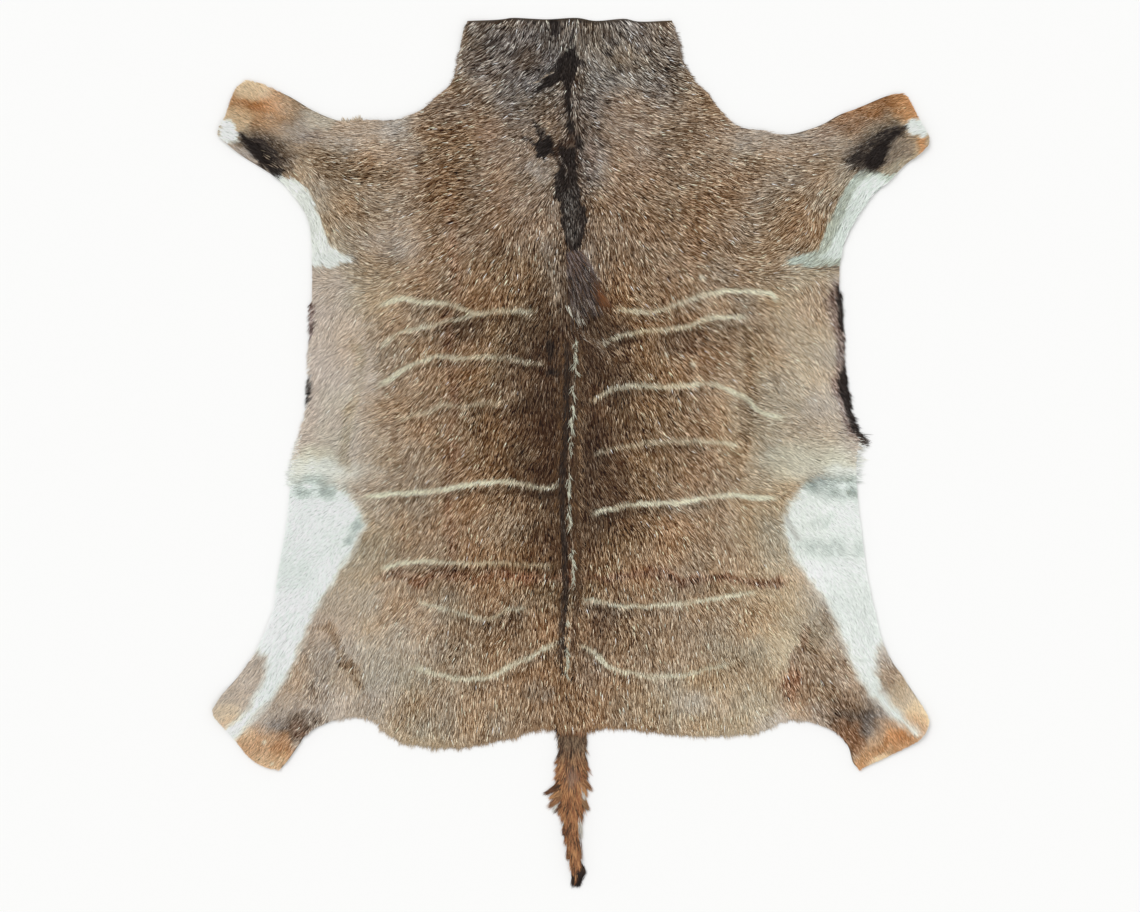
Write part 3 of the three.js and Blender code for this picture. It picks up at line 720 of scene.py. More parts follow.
def coat_colour(x, y):
    """The coat's sRGB colour at each point, before each hair's own shade."""
    wander_x = x + 9 * noise(x, y, 38, 11) + 4 * noise(x, y, 13, 12)
    wander_y = y + 9 * noise(x, y, 38, 13) + 4 * noise(x, y, 13, 14)
    rows = np.array(SADDLE)[::-1]
    out = (np.interp(wander_y, rows[:, 0], rows[:, 1])
           + np.interp(wander_y, rows[:, 0], rows[:, 2]) * np.abs(wander_x - 2))
    out += 24 * noise(x, y, 120, 15) + 9 * noise(x, y, 45, 16)
    stops = [s for s, _ in OUTWARDS]
    tones = np.array([HAIR[t] for _, t in OUTWARDS])
    colour = np.column_stack([np.interp(out, stops, tones[:, k]) for k in range(3)])
    everywhere = slice(None)
    for (cx, cy), (rx, ry), turn, tone, strength in AREAS:
        c, s = math.cos(math.radians(turn)), math.sin(math.radians(turn))
        u, v = wander_x - cx, wander_y - cy
        away = np.hypot((u * c + v * s) / rx, (v * c - u * s) / ry)
        share = strength * (1 - ease((away - 0.45) / 0.8))
        lay_tone(colour, everywhere, tone, share)
    # Mottled: browner where it is darker, greyer where it is paler.
    mottle = np.clip(0.8 * noise(x, y, 46, 23) + 0.35 * noise(x, y, 17, 24), -1.3, 1.3)
    mottle *= 1 + 0.8 * ease((y - 620) / 120) + 0.6 * ease((0.44 - colour.mean(axis=1)) / 0.1)
    mottle *= 1 - 0.7 * ease((colour.mean(axis=1) - 0.56) / 0.1)
    colour *= 1 - mottle[:, None] * np.array([0.045, 0.065, 0.095])
    for tone, strength, half, knots in BANDS:
        at = near(x, y, knots, 60)
        away, where = mark_distance(wander_x[at], wander_y[at], knots)
        ends = ease(np.minimum(where, 1 - where) * 12 + 0.2)
        share = strength * ends * (1 - ease(away / half - 0.35)) * (0.8 + 0.3 * noise(x[at], y[at], 30, 17))
        lay_tone(colour, at, tone, np.clip(share, 0, 1))
    for _, tone, strength, soft, corners in PATCHES:
        at = near(x, y, corners, 60)
        ragged = (1.6 * look_up(fine_streaks, x[at], y[at], STREAK_STEP) + 2.2 * noise(x[at], y[at], 24, 19)
                  + 1.8 * noise(x[at], y[at], 9, 18))
        depth = patch_depth(x[at], y[at], corners) + ragged
        share = strength * ease(depth / soft + 0.5)
        if tone == "slate":
            share *= np.clip(0.75 + 0.6 * noise(x[at], y[at], 16, 26), 0, 1)
        lay_tone(colour, at, tone, share)
    # Painted shadow just below each stripe, where the coat is brown.
    brown = 1 - ease((colour.mean(axis=1) - 0.46) / 0.12)
    colour *= 1 - 0.2 * (brown * white_stripe(x, y, 13.0, 1.6))[:, None]
    for _, tone, (first, last), half, knots in STRIPES:
        at = near(x, y, knots, 30)
        share = stripe_share(x[at], y[at], first, last, half, knots)
        lay_tone(colour, at, tone, share)
    for (cx, cy), size in SCARS:
        share = 0.75 * (1 - ease(np.hypot(x - cx, y - cy) / size - 0.4))
        lay_tone(colour, everywhere, "cream", share)
    on_tail = (y < -560) & (np.abs(x) < 60)  # one tone, under hair of the tail's own
    colour[on_tail] = HAIR["russet"]
    return colour


# Longer or shorter body hair: (middle, half sizes, factor on the length)
LENGTHS = [((-620, 650), (130, 100), 0.62), ((630, 640), (130, 100), 0.62), ((-640, -540), (120, 110), 0.66),
           ((640, -540), (120, 110), 0.66), ((-520, -180), (110, 200), 0.72), ((530, -180), (110, 200), 0.72),
           ((0, 800), (240, 110), 1.1), ((20, 340), (60, 130), 1.35), ((0, -520), (420, 70), 1.15),
           ((-58, 612), (70, 60), 0.6), ((0, 500), (50, 130), 0.6), ((-24, 745), (70, 80), 0.6)]
BODY_HAIR = 16.5  # length of a lock of body hair
LOCK_WIDTH = 1.35  # a lock stands for the few dozen hairs that lie together
LOOSE_WIDTH = 1.3  # the same for loose hair at the cut edge and the tail
LOFT = 3.0  # how far the topmost locks stand above the lowest


def hair_length(x, y):
    """Length of the body hair at each point."""
    length = np.full(np.shape(x), BODY_HAIR)
    for (cx, cy), (rx, ry), factor in LENGTHS:
        share = 1 - ease((np.hypot((x - cx) / rx, (y - cy) / ry) - 0.6) / 0.6)
        length *= 1 + (factor - 1) * share
    return length


def clump_offsets(x, y, size, seed):
    """For each hair, its tuft's middle and the tuft's own random numbers."""
    rng = np.random.default_rng(seed)
    table = rng.uniform(0, 1, (128, 128, 6))
    i, j = np.floor(x / size).astype(int), np.floor(y / size).astype(int)
    best = np.full(x.shape, 1e9)
    middle = np.zeros((len(x), 2))
    own = np.zeros((len(x), 4))
    for di in (-1, 0, 1):
        for dj in (-1, 0, 1):
            cell = table[(i + di) % 128, (j + dj) % 128]
            cx, cy = (i + di + cell[:, 0]) * size, (j + dj + cell[:, 1]) * size
            away = np.hypot(x - cx, y - cy)
            nearer = away < best
            best[nearer] = away[nearer]
            middle[nearer] = np.column_stack([cx, cy])[nearer]
            own[nearer] = cell[nearer, 2:]
    return middle, own


def drawn_in(x, y, heading, length, tuft_middle, share):
    """Headings turned part of the way towards the place where the tips of a tuft would meet."""
    goal_x = tuft_middle[:, 0] + length * np.cos(heading)
    goal_y = tuft_middle[:, 1] + length * np.sin(heading)
    turn = (np.arctan2(goal_y - y, goal_x - x) - heading + np.pi) % (2 * np.pi) - np.pi
    return heading + share * turn


def along_line(line, at):
    """Places on an evenly spaced line, counted in its points."""
    return [np.interp(at, np.arange(len(line)), line[:, k]) for k in range(2)]


# A lock of hair is a leaf of two facets, narrow at the root and the tip.
BROADEST = 0.42  # share of a lock's length where it is broadest
ROOT_DEPTH = 0.5  # how far its root lies under the skin's top
DROOP = 8.0  # this far past the cut edge a lock hangs right down to the floor
FLOOR_GAP = 0.3  # no hair comes nearer to the floor
PAINTED_CORNER_LIGHT = np.array([0.4, 1.12, 0.74, 1.04])  # root, both sides, tip: painted shade, darkest at the root deep in the coat, one side painted lit and the other shaded


def lock_corners(x, y, heading, length, width, rise, over, rng):
    """Root, two sides and tip of each lock; `over` is how near it lies to the top of the coat, 0 to 1."""
    ahead = np.column_stack([np.cos(heading), np.sin(heading)])
    aside = np.column_stack([-ahead[:, 1], ahead[:, 0]]) * (width / 2)[:, None]
    root = np.column_stack([x, y])
    root_z = skin_top(x, y) - ROOT_DEPTH

    def place_at(reach, slope, low, loose):
        """A place along each lock and its height; past the cut edge it sinks to `low`, or `loose` above."""
        place = root + ahead * reach[:, None]
        skin_z = np.maximum(root_z, skin_top(place[:, 0], place[:, 1]) - ROOT_DEPTH)
        height = skin_z + reach * np.sin(slope) + LOFT * over
        droop = ease(-look_up(edge_distance, place[:, 0], place[:, 1]) / DROOP)
        return place, height * (1 - droop) + (low + loose * rng.uniform(0, 1, len(reach))) * droop

    tip, tip_z = place_at(length, rise * 0.62, 0.6, 2.2)
    middle, middle_z = place_at(BROADEST * length, rise, 1.2, 2.5)
    roll = np.sin(rng.normal(0, 0.2, len(x))) * width / 2
    corners = np.zeros((len(x), 4, 3))
    corners[:, 0, :2], corners[:, 0, 2] = root, root_z
    corners[:, 1, :2], corners[:, 1, 2] = middle + aside, middle_z + roll
    corners[:, 2, :2], corners[:, 2, 2] = middle - aside, middle_z - roll
    corners[:, 3, :2], corners[:, 3, 2] = tip, tip_z
    corners[:, :, 2] = np.maximum(corners[:, :, 2], FLOOR_GAP)
    return corners


def hair_mesh(name, x, y, heading, length, colour, width, rise, over, seed):
    """One piece of hair, from arrays with one value a lock."""
    n = len(x)
    corners = lock_corners(x, y, heading, length, width, rise, over, np.random.default_rng(seed))
    faces = (np.array([[0, 2, 1], [1, 2, 3]])[None] + 4 * np.arange(n)[:, None, None]).reshape(-1)

    mesh = bpy.data.meshes.new(name)
    mesh.vertices.add(4 * n)
    mesh.vertices.foreach_set("co", (corners.reshape(-1) * MM).astype(np.float32))
    mesh.loops.add(len(faces))
    mesh.loops.foreach_set("vertex_index", faces.astype(np.int32))
    mesh.polygons.add(2 * n)
    mesh.polygons.foreach_set("loop_start", np.arange(0, 6 * n, 3, dtype=np.int32))
    mesh.update(calc_edges=True)

    # Painted light and shade on each lock's corners: dark root, one lit and one shaded side, paler tip;
    # weaker on pale hair.
    light = PAINTED_CORNER_LIGHT + (1 - PAINTED_CORNER_LIGHT) * 0.75 * paleness(colour)[:, None]
    store_coat(mesh, (to_linear(np.clip(colour, 0, 1))[:, None] * light[:, :, None]).reshape(-1, 3))

    # One small square of the map for each lock, so that its colours stay its own.
    side = 256 if n > 128 ** 2 else 128
    square = np.arange(n)
    corner_at = np.array([[0.12, 0.5], [0.5, 0.88], [0.5, 0.12], [0.88, 0.5]])
    place = (np.column_stack([square % side, square // side])[:, None] + corner_at) / side
    uv = mesh.uv_layers.new(name="OFBake")
    uv.data.foreach_set("uv", place.reshape(-1, 2)[faces].reshape(-1).astype(np.float32))
    return add_object(name, mesh)


def hair_from_rows(name, rows, width, rise, over, seed):
    """One piece of hair from rows of place, heading, length and colour."""
    x, y, heading, length = rows[:, :4].T
    return hair_mesh(name, x, y, heading, length, rows[:, 4:7], width, rise, over, seed)


# How far the locks' own shades lie apart: (tone of the coat, spread)
SPREAD = [(0.12, 0.06), (0.20, 0.17), (0.36, 0.30), (0.45, 0.25), (0.55, 0.19), (0.65, 0.12), (0.85, 0.05)]


def shades(colour, over, calm, x, y, seed):
    """Each lock's own shade: random tone, and painted shade that makes locks darker deeper in the coat and
    paler towards its top; more uneven the darker the coat is.
    """
    rng = np.random.default_rng(seed)
    tone = colour.mean(axis=1)
    tones, spreads = zip(*SPREAD)
    spread = np.interp(tone, tones, spreads) * calm
    # Painted shade: locks lower in the coat come out darker, those on top paler; the normal term is random
    # tone.
    spread *= (1.9 * (over - 0.7) + 0.75 * rng.normal(0, 1, len(x))
               + 0.16 * np.clip(look_up(fine_streaks, x, y, STREAK_STEP), -2, 2))
    warm = (0.025 * noise(x, y, 50, 33) + 0.015 * rng.normal(0, 1, len(x))) * (1 - ease((tone - 0.6) / 0.2))
    light = 1.09 + 0.03 * noise(x, y, 60, 31)
    colour = colour * np.column_stack([light * (1 + warm), light, light * (1 - 1.2 * warm)])
    return np.clip(colour + spread[:, None] * np.array([0.97, 1.0, 0.98]), 0.015, 1)


def kept_inside(x, y, heading, length):
    """Hair cut back so that it reaches no further past the cut edge than it may."""
    reach = look_up(overhang_field, x, y)
    for _ in range(3):
        tip_x, tip_y = x + length * np.cos(heading), y + length * np.sin(heading)
        over = -look_up(edge_distance, tip_x, tip_y) - reach
        length = np.where(over > 0, np.maximum(length - 1.1 * over, 3.5), length)
    return length


# Body hair in six strips from the left legs to the right
LOCKS = 395_000
SEEN = 0.72  # share of a lock's length where it mostly shows
TAIL_ROOT = -548  # below this the tail has hair of its own
STRIPS = ["left_flank_hair", "left_side_hair", "left_back_hair", "right_back_hair", "right_side_hair",
          "right_flank_hair"]


def body_hair():
    """Locks spread evenly over the hide, then shared out from left to right."""
    (here_x, here_y), (after_x, after_y) = outline.T, np.roll(outline, -1, axis=0).T
    area = 0.5 * abs(np.sum(here_x * after_y - here_y * after_x))
    pitch = math.sqrt(area / LOCKS)
    rng = np.random.default_rng(7)
    column, row = np.meshgrid(np.arange(-720, 721, pitch), np.arange(-860, 876, pitch), indexing="ij")
    gx = (column + rng.uniform(-0.6, 0.6, column.shape) * pitch).ravel()
    gy = (row + rng.uniform(-0.6, 0.6, row.shape) * pitch).ravel()
    # Every fourth lock lies on top, so that the ones painted paler there are spread evenly.
    layer = (np.arange(column.shape[0])[:, None] + 2 * np.arange(column.shape[1])[None]) % 4
    over = ((layer + rng.uniform(0, 1, layer.shape)) / 4).ravel()
    keep = (look_up(edge_distance, gx, gy) > 0.8) & ((gy > TAIL_ROOT) | (np.abs(gx) > 100))
    gx, gy, over = gx[keep], gy[keep], over[keep]
    tuft_middle, tuft_own = clump_offsets(gx, gy, 9.0, 41)
    heading = hair_heading(gx, gy)
    length = hair_length(gx, gy) * rng.uniform(0.78, 1.22, len(gx))
    heading += np.radians(11) * noise(gx, gy, 34, 42) + np.radians(5) * (tuft_own[:, 2] * 2 - 1)
    heading += rng.normal(0, math.radians(6), len(gx))
    heading = drawn_in(gx, gy, heading, length, tuft_middle, 0.12)
    # Hair of the white stripes is short and lies on top, so that the stripes stay narrow.
    on_stripe = white_stripe(gx + SEEN * length * np.cos(heading), gy + SEEN * length * np.sin(heading))
    gx = gx + SEEN * 0.4 * on_stripe * length * np.cos(heading)
    gy = gy + SEEN * 0.4 * on_stripe * length * np.sin(heading)
    length = length * (1 - 0.4 * on_stripe)
    over = np.maximum(over, on_stripe * (0.6 + 0.4 * over))
    length = kept_inside(gx, gy, heading, length)
    seen_x = gx + SEEN * length * np.cos(heading)
    seen_y = gy + SEEN * length * np.sin(heading)
    calm = np.clip(hair_length(gx, gy) / BODY_HAIR * 1.3 - 0.3, 0.4, 1.1)  # short hair looks smoother
    calm[np.abs(gx) < 120] = 1  # but not along the back
    hair_tone = shades(coat_colour(seen_x, seen_y), over, calm, seen_x, seen_y, 43)
    rise = np.radians(np.clip(17 + 4 * (tuft_own[:, 3] * 2 - 1) + 4 * rng.normal(0, 1, len(gx)), 6, 30))
    width = LOCK_WIDTH * rng.uniform(0.75, 1.25, len(gx))

    order = np.argsort(gx, kind="stable")
    each_lock = (gx, gy, heading, length, hair_tone, width, rise, over)
    pieces = []
    for number, (name, members) in enumerate(zip(STRIPS, np.array_split(order, len(STRIPS)))):
        members = members[np.argsort(gy[members], kind="stable")]
        pieces.append(hair_mesh(name, *(values[members] for values in each_lock), 50 + number))
    return pieces


# Hair past the cut edge: (stretch, first and last share, locks, length, headings, tone or none)
RIM_HAIR = [
    ("left_rump", 0.0, 0.97, 2600, 22, (-114, -88), None),
    ("right_rump", 0.03, 1.0, 2400, 21, (-92, -66), None),
    ("right_hind_inner", 0.0, 0.3, 400, 15, (-70, -60), None),
    ("left_hind_inner", 0.62, 1.0, 500, 16, (-122, -112), None),
    ("right_flank", 0.0, 0.08, 70, 26, (4, -10), "pearl"),
    ("right_flank", 0.05, 0.12, 300, 34, (-22, -40), "sable"),
    ("right_flank", 0.08, 0.5, 1000, 22, (-36, -58), "sable"),
    ("right_flank", 0.48, 0.70, 520, 15, (-56, -62), "sable"),
    ("right_flank", 0.68, 0.97, 700, 15, (-60, -70), "sable"),
    ("right_hind_outer", 0.88, 1.0, 130, 24, (-8, 4), "pearl"),
    ("left_flank", 0.02, 0.26, 140, 7, (-112, -118), "plum"),
    ("left_flank", 0.44, 0.68, 200, 9, (-112, -122), "sable"),
    ("left_flank", 0.72, 1.0, 300, 20, (-150, -186), "pearl"),
    ("left_neck_side", 0.1, 0.40, 900, 14, (-150, -160), None),
    ("left_neck_side", 0.57, 0.64, 120, 13, (96, 112), "sand"),
    ("right_neck_side", 0.62, 0.96, 1200, 15, (-40, -6), None),
]


def rim_hair():
    """Loose hair with its roots just inside the cut edge."""
    rng = np.random.default_rng(61)
    parts = []
    for stretch, first, last, count, long, (turn_a, turn_b), tone in RIM_HAIR:
        line = smooth_line(EDGE[stretch], 2.0)
        share = rng.uniform(first, last, count)
        at = share * (len(line) - 1)
        px, py = along_line(line, at)
        tufts = 0.7 * (np.sin(at * 0.55) + np.sin(at * 0.23 + 1.0))
        turn = np.radians(turn_a + (turn_b - turn_a) * (share - first) / (last - first))
        turn += np.radians(7) * tufts / 2 + rng.normal(0, math.radians(11), count)
        inset = rng.uniform(1.0, 12.0, count)
        px, py = px - inset * np.cos(turn), py - inset * np.sin(turn)
        reach = long * rng.uniform(0.45, 1.15, count) * (1 + 0.12 * tufts)
        own = coat_colour(px + 3 * np.cos(turn), py + 3 * np.sin(turn))
        if tone:
            own = own + (HAIR[tone] - own) * rng.uniform(0.5, 0.95, count)[:, None]
        own = own * rng.uniform(0.9, 1.2, count)[:, None]
        parts.append(np.column_stack([px, py, turn, reach, own]))
    rim = np.vstack(parts)
    rim = rim[look_up(edge_distance, rim[:, 0], rim[:, 1]) > 0.5]
    return hair_from_rows("rim_hair", rim, np.full(len(rim), LOOSE_WIDTH),
                          np.full(len(rim), math.radians(8)), rng.uniform(0, 1, len(rim)), 62)


# Mane over the withers
MANE_LOCKS = 3300
STRANDS = 64  # streaks of one colour, side by side


def mane_fan(rng):
    """A fan of long hair from the end of the dark mark down to the right."""
    across_fan, down_fan = rng.uniform(0, 1, MANE_LOCKS), rng.uniform(0, 1, MANE_LOCKS) ** 0.85
    px = (1 - down_fan) * (-14 + 28 * across_fan) + down_fan * (-2 + 64 * across_fan)
    py = (1 - down_fan) * 414 + down_fan * (284 + 32 * across_fan)
    turn = np.radians(-76 + 24 * across_fan + 5 * noise(px, py, 16, 72) + rng.normal(0, 4.5, MANE_LOCKS))
    long = (32 + 10 * down_fan) * rng.uniform(0.7, 1.1, MANE_LOCKS)
    strand_own = rng.uniform(0, 1, (STRANDS + 4, 2))
    strand_number = np.clip(across_fan * STRANDS + 0.3 * rng.normal(0, 1, MANE_LOCKS), 0, STRANDS).astype(int)
    strand = strand_own[strand_number]
    own = HAIR["plum"] * 0.9 + (HAIR["umber"] * 0.85 - HAIR["plum"] * 0.9) * ease(down_fan * 1.3)[:, None]
    own = np.where((strand[:, 0] < 0.46)[:, None], HAIR["sable"] * (1.4 - 0.5 * down_fan[:, None]), own)
    own = np.where((strand[:, 0] > 0.78)[:, None], HAIR["mauve"] * 0.95, own)
    single = rng.uniform(0, 1, MANE_LOCKS)  # stray hairs among the strands
    own = np.where((single < 0.2)[:, None], HAIR["mauve"] * 0.9, own)
    own = np.where((single > 0.88)[:, None], HAIR["brown"] * 0.95, own)
    pale = ((strand[:, 0] > 0.86) | (single < 0.07)) & (across_fan < 0.8)
    own = np.where(pale[:, None], HAIR["mauve"] + (HAIR["ash"] - HAIR["mauve"]) * down_fan[:, None], own)
    rusty = 0.9 * ease((across_fan - 0.6) / 0.25) * ease((down_fan - 0.4) / 0.3)
    rusty *= ease(2.2 * strand[:, 1] - 0.5) * rng.uniform(0.3, 1.2, MANE_LOCKS).clip(0, 1)
    own = own + (HAIR["rust"] - own) * rusty[:, None]
    own = own * rng.uniform(0.85, 1.15, MANE_LOCKS)[:, None]
    high = rng.uniform(0.3, 1.4, MANE_LOCKS)
    return np.column_stack([px, py, turn, long, own, high, np.full(MANE_LOCKS, 1.0)])


# Single runs of longer hair: (knots, scatter across, locks, length, heading, tones, how high they lie)
CREST = [
    ([(-4, 306), (6, 290), (14, 276)], 9, 90, 28, -70, ("ash", "cream"), 1.8),
    ([(16, 412), (30, 380), (52, 352)], 7, 130, 20, -50, ("ash", "mauve"), 1.0),
    ([(6, 260), (30, 236), (60, 214)], 12, 90, 24, -46, ("ash", "brown"), 1.2),
    ([(-626, 626), (-604, 616), (-586, 598), (-570, 574)], 10, 150, 19, 150, ("sable", "bark"), 1.4),
    ([(-606, 604), (-586, 580), (-576, 566)], 10, 16, 18, 150, ("taupe", "sand"), 1.5),
    ([(636, 648), (604, 626), (574, 604), (556, 580)], 13, 200, 20, 24, ("sable", "bark"), 1.4),
    ([(640, 622), (636, 600), (626, 580)], 8, 30, 22, 52, ("taupe", "sand"), 1.5),
    ([(14, 870), (12, 850), (6, 828), (-2, 816), (-12, 814)], 1.6, 60, 12, -96, ("ash", "cream"), 1.8),
    ([(-50, 868), (-46, 857), (-41, 848)], 1.2, 20, 10, -70, ("ash", "cream"), 1.5),
    ([(-78, 742), (-60, 746), (-44, 758), (-30, 764)], 1.6, 40, 12, -160, ("ash", "stone"), 1.5),
    ([(-2, 240), (-10, 24), (-16, -110), (-10, -282), (-18, -430)], 5.0, 1700, 22, -91,
     ("sable", "walnut"), 0.9),
    ([(16, 240), (10, 24), (6, -110), (12, -282), (2, -430)], 7.0, 1300, 24, -74, ("walnut", "brown"), 0.9),
    ([(-14, 240), (-20, 24), (-24, -110), (-20, -282), (-26, -420)], 9.0, 900, 24, -106,
     ("walnut", "brown"), 0.8),
    ([(18, 200), (14, 24), (12, -110), (16, -282), (8, -420)], 7.0, 260, 24, -58, ("fawn", "stone"), 1.2),
]
SPINE_LOCKS = 850


def mane_hair():
    """The fan over the withers, the single runs and the white line along the spine."""
    rng = np.random.default_rng(71)
    parts = [mane_fan(rng)]
    for knots, scatter, count, longest, lean, (one, other), high in CREST:
        line = smooth_line(knots, 3.0)
        at = rng.uniform(0, len(line) - 1, count)
        px, py = along_line(line, at)
        px += rng.normal(0, scatter * 0.55, count)
        turn = np.radians(lean + 9 * noise(px, py, 17, 74) + rng.normal(0, 6, count))
        mix = rng.uniform(0, 1, (count, 1))
        own = (HAIR[one] * mix + HAIR[other] * (1 - mix)) * rng.uniform(0.7, 1.2, count)[:, None]
        parts.append(np.column_stack([px, py, turn, longest * rng.uniform(0.65, 1.15, count), own,
                                      high * rng.uniform(0, 1, count), np.full(count, 1.5)]))
    # The white line itself, broken in places
    line = smooth_line(SPINE, 3.0)
    at = rng.uniform(0, len(line) - 1, SPINE_LOCKS)
    px, py = along_line(line, at)
    px += rng.normal(0, 1.1, SPINE_LOCKS)
    thick = 0.15 + 1.4 * noise(py * 0, py, 22, 75) + 0.6 * noise(py * 0, py, 7, 76)
    kept = thick > rng.uniform(-0.5, 1.2, SPINE_LOCKS)
    px, py = px[kept] + 1.0 * noise(py[kept] * 0, py[kept], 17, 79), py[kept]
    turn = np.radians(-82 + 26 * noise(px * 0, py, 7, 77) + rng.normal(0, 10, len(px)))
    own = HAIR["ivory"] * rng.uniform(0.75, 1.06, len(px))[:, None]
    parts.append(np.column_stack([px, py, turn, rng.uniform(7, 21, len(px)), own,
                                  rng.uniform(1.0, 2.0, len(px)), np.full(len(px), 1.0)]))
    mane = np.vstack(parts)
    return hair_from_rows("mane_hair", mane, mane[:, 8], np.radians(rng.uniform(12, 20, len(mane))),
                          mane[:, 7], 78)


# Tail hair
TAIL_LOCKS = 11500
TAIL_HAIR_END = -871
# Tufts that stand out from the rest: (root, spread, locks, length, heading, tones)
TAIL_TUFTS = [
    ((-18, -606), (5, 8), 90, 20, -136, ("tan", "russet")),
    ((-20, -634), (5, 10), 110, 22, -122, ("tan", "russet")),
    ((-17, -658), (8, 7), 150, 46, -148, ("russet", "umber")),
    ((-17, -668), (8, 8), 150, 36, -140, ("tan", "apricot")),
    ((-16, -678), (7, 8), 170, 44, -134, ("tan", "russet")),
    ((-16, -690), (6, 8), 120, 34, -122, ("russet", "umber")),
    ((-18, -690), (4, 5), 120, 34, -126, ("pearl", "ash")),
    ((-16, -702), (4, 12), 130, 24, -114, ("tan", "russet")),
    ((-10, -742), (4, 12), 120, 22, -106, ("russet", "umber")),
    ((-4, -790), (4, 16), 110, 22, -100, ("tan", "russet")),
    ((24, -606), (4, 8), 90, 18, -62, ("tan", "russet")),
    ((24, -628), (4, 8), 110, 22, -66, ("tan", "umber")),
    ((18, -646), (8, 7), 150, 38, -48, ("russet", "tan")),
    ((18, -660), (7, 8), 130, 30, -60, ("tan", "apricot")),
    ((18, -684), (7, 9), 150, 36, -58, ("tan", "fawn")),
    ((18, -668), (4, 20), 130, 32, -70, ("pearl", "ash")),
    ((14, -736), (4, 24), 170, 34, -78, ("pearl", "ash")),
    ((14, -716), (4, 14), 120, 24, -74, ("tan", "russet")),
    ((16, -790), (4, 18), 120, 22, -78, ("tan", "russet")),
    ((4, -834), (3, 8), 150, 34, -88, ("sable", "umber")),
    ((18, -824), (7, 8), 160, 20, -58, ("sable", "umber")),
    ((20, -834), (8, 9), 240, 34, -104, ("sable", "sable")),
]


def tail_cover(rng):
    """The hair that covers the tail: brown at its root, redder and paler below, with a dark end."""
    rows = np.array(TAIL)[::-1]
    py = rng.uniform(-850, -528, TAIL_LOCKS)
    side = rng.uniform(-0.95, 0.95, TAIL_LOCKS) * np.interp(py, [-850, -740, -690, -620], [0.7, 0.74, 0.9, 1])
    middle, half = np.interp(py, rows[:, 0], rows[:, 1]), np.interp(py, rows[:, 0], rows[:, 2])
    px = middle + half * side
    tuft_middle, tuft_own = clump_offsets(px, py, 8.0, 82)
    bushy = np.interp(py, [-850, -800, -720, -690, -640, -600, -560, -528], [3, 5, 9, 22, 22, 26, 8, 2])
    lean = -90 + side * bushy + 8 * (tuft_own[:, 0] * 2 - 1) + rng.normal(0, 6, TAIL_LOCKS)
    long = np.interp(py, [-850, -800, -700, -600, -528], [16, 26, 32, 30, 22])
    long *= rng.uniform(0.55, 1.1, TAIL_LOCKS)
    turn = drawn_in(px, py, np.radians(lean), long, tuft_middle, 0.5)
    strand = 0.6 * rng.uniform(0, 1, TAIL_LOCKS) + 0.4 * tuft_own[:, 1]
    redness = ease((-560 - py) / 70)[:, None]
    own = HAIR["umber"] * 1.15 + (HAIR["russet"] * 1.25 - HAIR["umber"] * 1.15) * redness
    own = np.where((strand < 0.34)[:, None], HAIR["umber"] * (0.65 + 0.2 * redness), own)
    pale = HAIR["stone"] + (HAIR["apricot"] - HAIR["stone"]) * redness
    own = np.where((strand > 0.6)[:, None], own + (pale - own) * 0.85, own)
    root = 0.5 * ease((py + 582) / 45)[:, None]
    own = own + (HAIR["fawn"] * rng.uniform(0.6, 1.1, (TAIL_LOCKS, 1)) - own) * root
    ashy = ease(1 - np.hypot((px - 2) / 16, (py + 630) / 34)) * 0.6
    own = own + (HAIR["mauve"] - own) * ashy[:, None]
    own = np.where(((py < -818 + 9 * side) & (side > -0.1))[:, None], HAIR["sable"] * 1.35, own)
    return np.column_stack([px, py, turn, long, own, rng.uniform(0, 1, TAIL_LOCKS)])


def tail_hair():
    """The tail's cover and its tufts."""
    rng = np.random.default_rng(81)
    tail = [tail_cover(rng)]
    for (cx, cy), (wide, deep), count, longest, lean, (one, other) in TAIL_TUFTS:
        px, py = cx + rng.normal(0, wide * 0.5, count), cy + rng.normal(0, deep * 0.5, count)
        tip_x = cx + longest * math.cos(math.radians(lean)) + rng.normal(0, 1.5, count)
        tip_y = cy + longest * math.sin(math.radians(lean)) + rng.normal(0, 1.5, count)
        turn = np.arctan2(tip_y - py, tip_x - px) + rng.normal(0, math.radians(3), count)
        mix = rng.uniform(0, 1, (count, 1))
        own = (HAIR[one] * mix + HAIR[other] * (1 - mix)) * rng.uniform(0.8, 1.15, count)[:, None]
        reach = np.hypot(tip_x - px, tip_y - py) * rng.uniform(0.5, 1.05, count)
        tail.append(np.column_stack([px, py, turn, reach, own, rng.uniform(0.2, 0.8, count)]))
    tail = np.vstack(tail)
    tail[:, 3] = np.minimum(tail[:, 3], (tail[:, 1] - TAIL_HAIR_END) / np.maximum(-np.sin(tail[:, 2]), 0.3))
    return hair_from_rows("tail_hair", tail, np.full(len(tail), LOOSE_WIDTH),
                          np.radians(rng.uniform(2, 9, len(tail))), tail[:, 7], 83)


hair_pieces = [*body_hair(), rim_hair(), mane_hair(), tail_hair()]


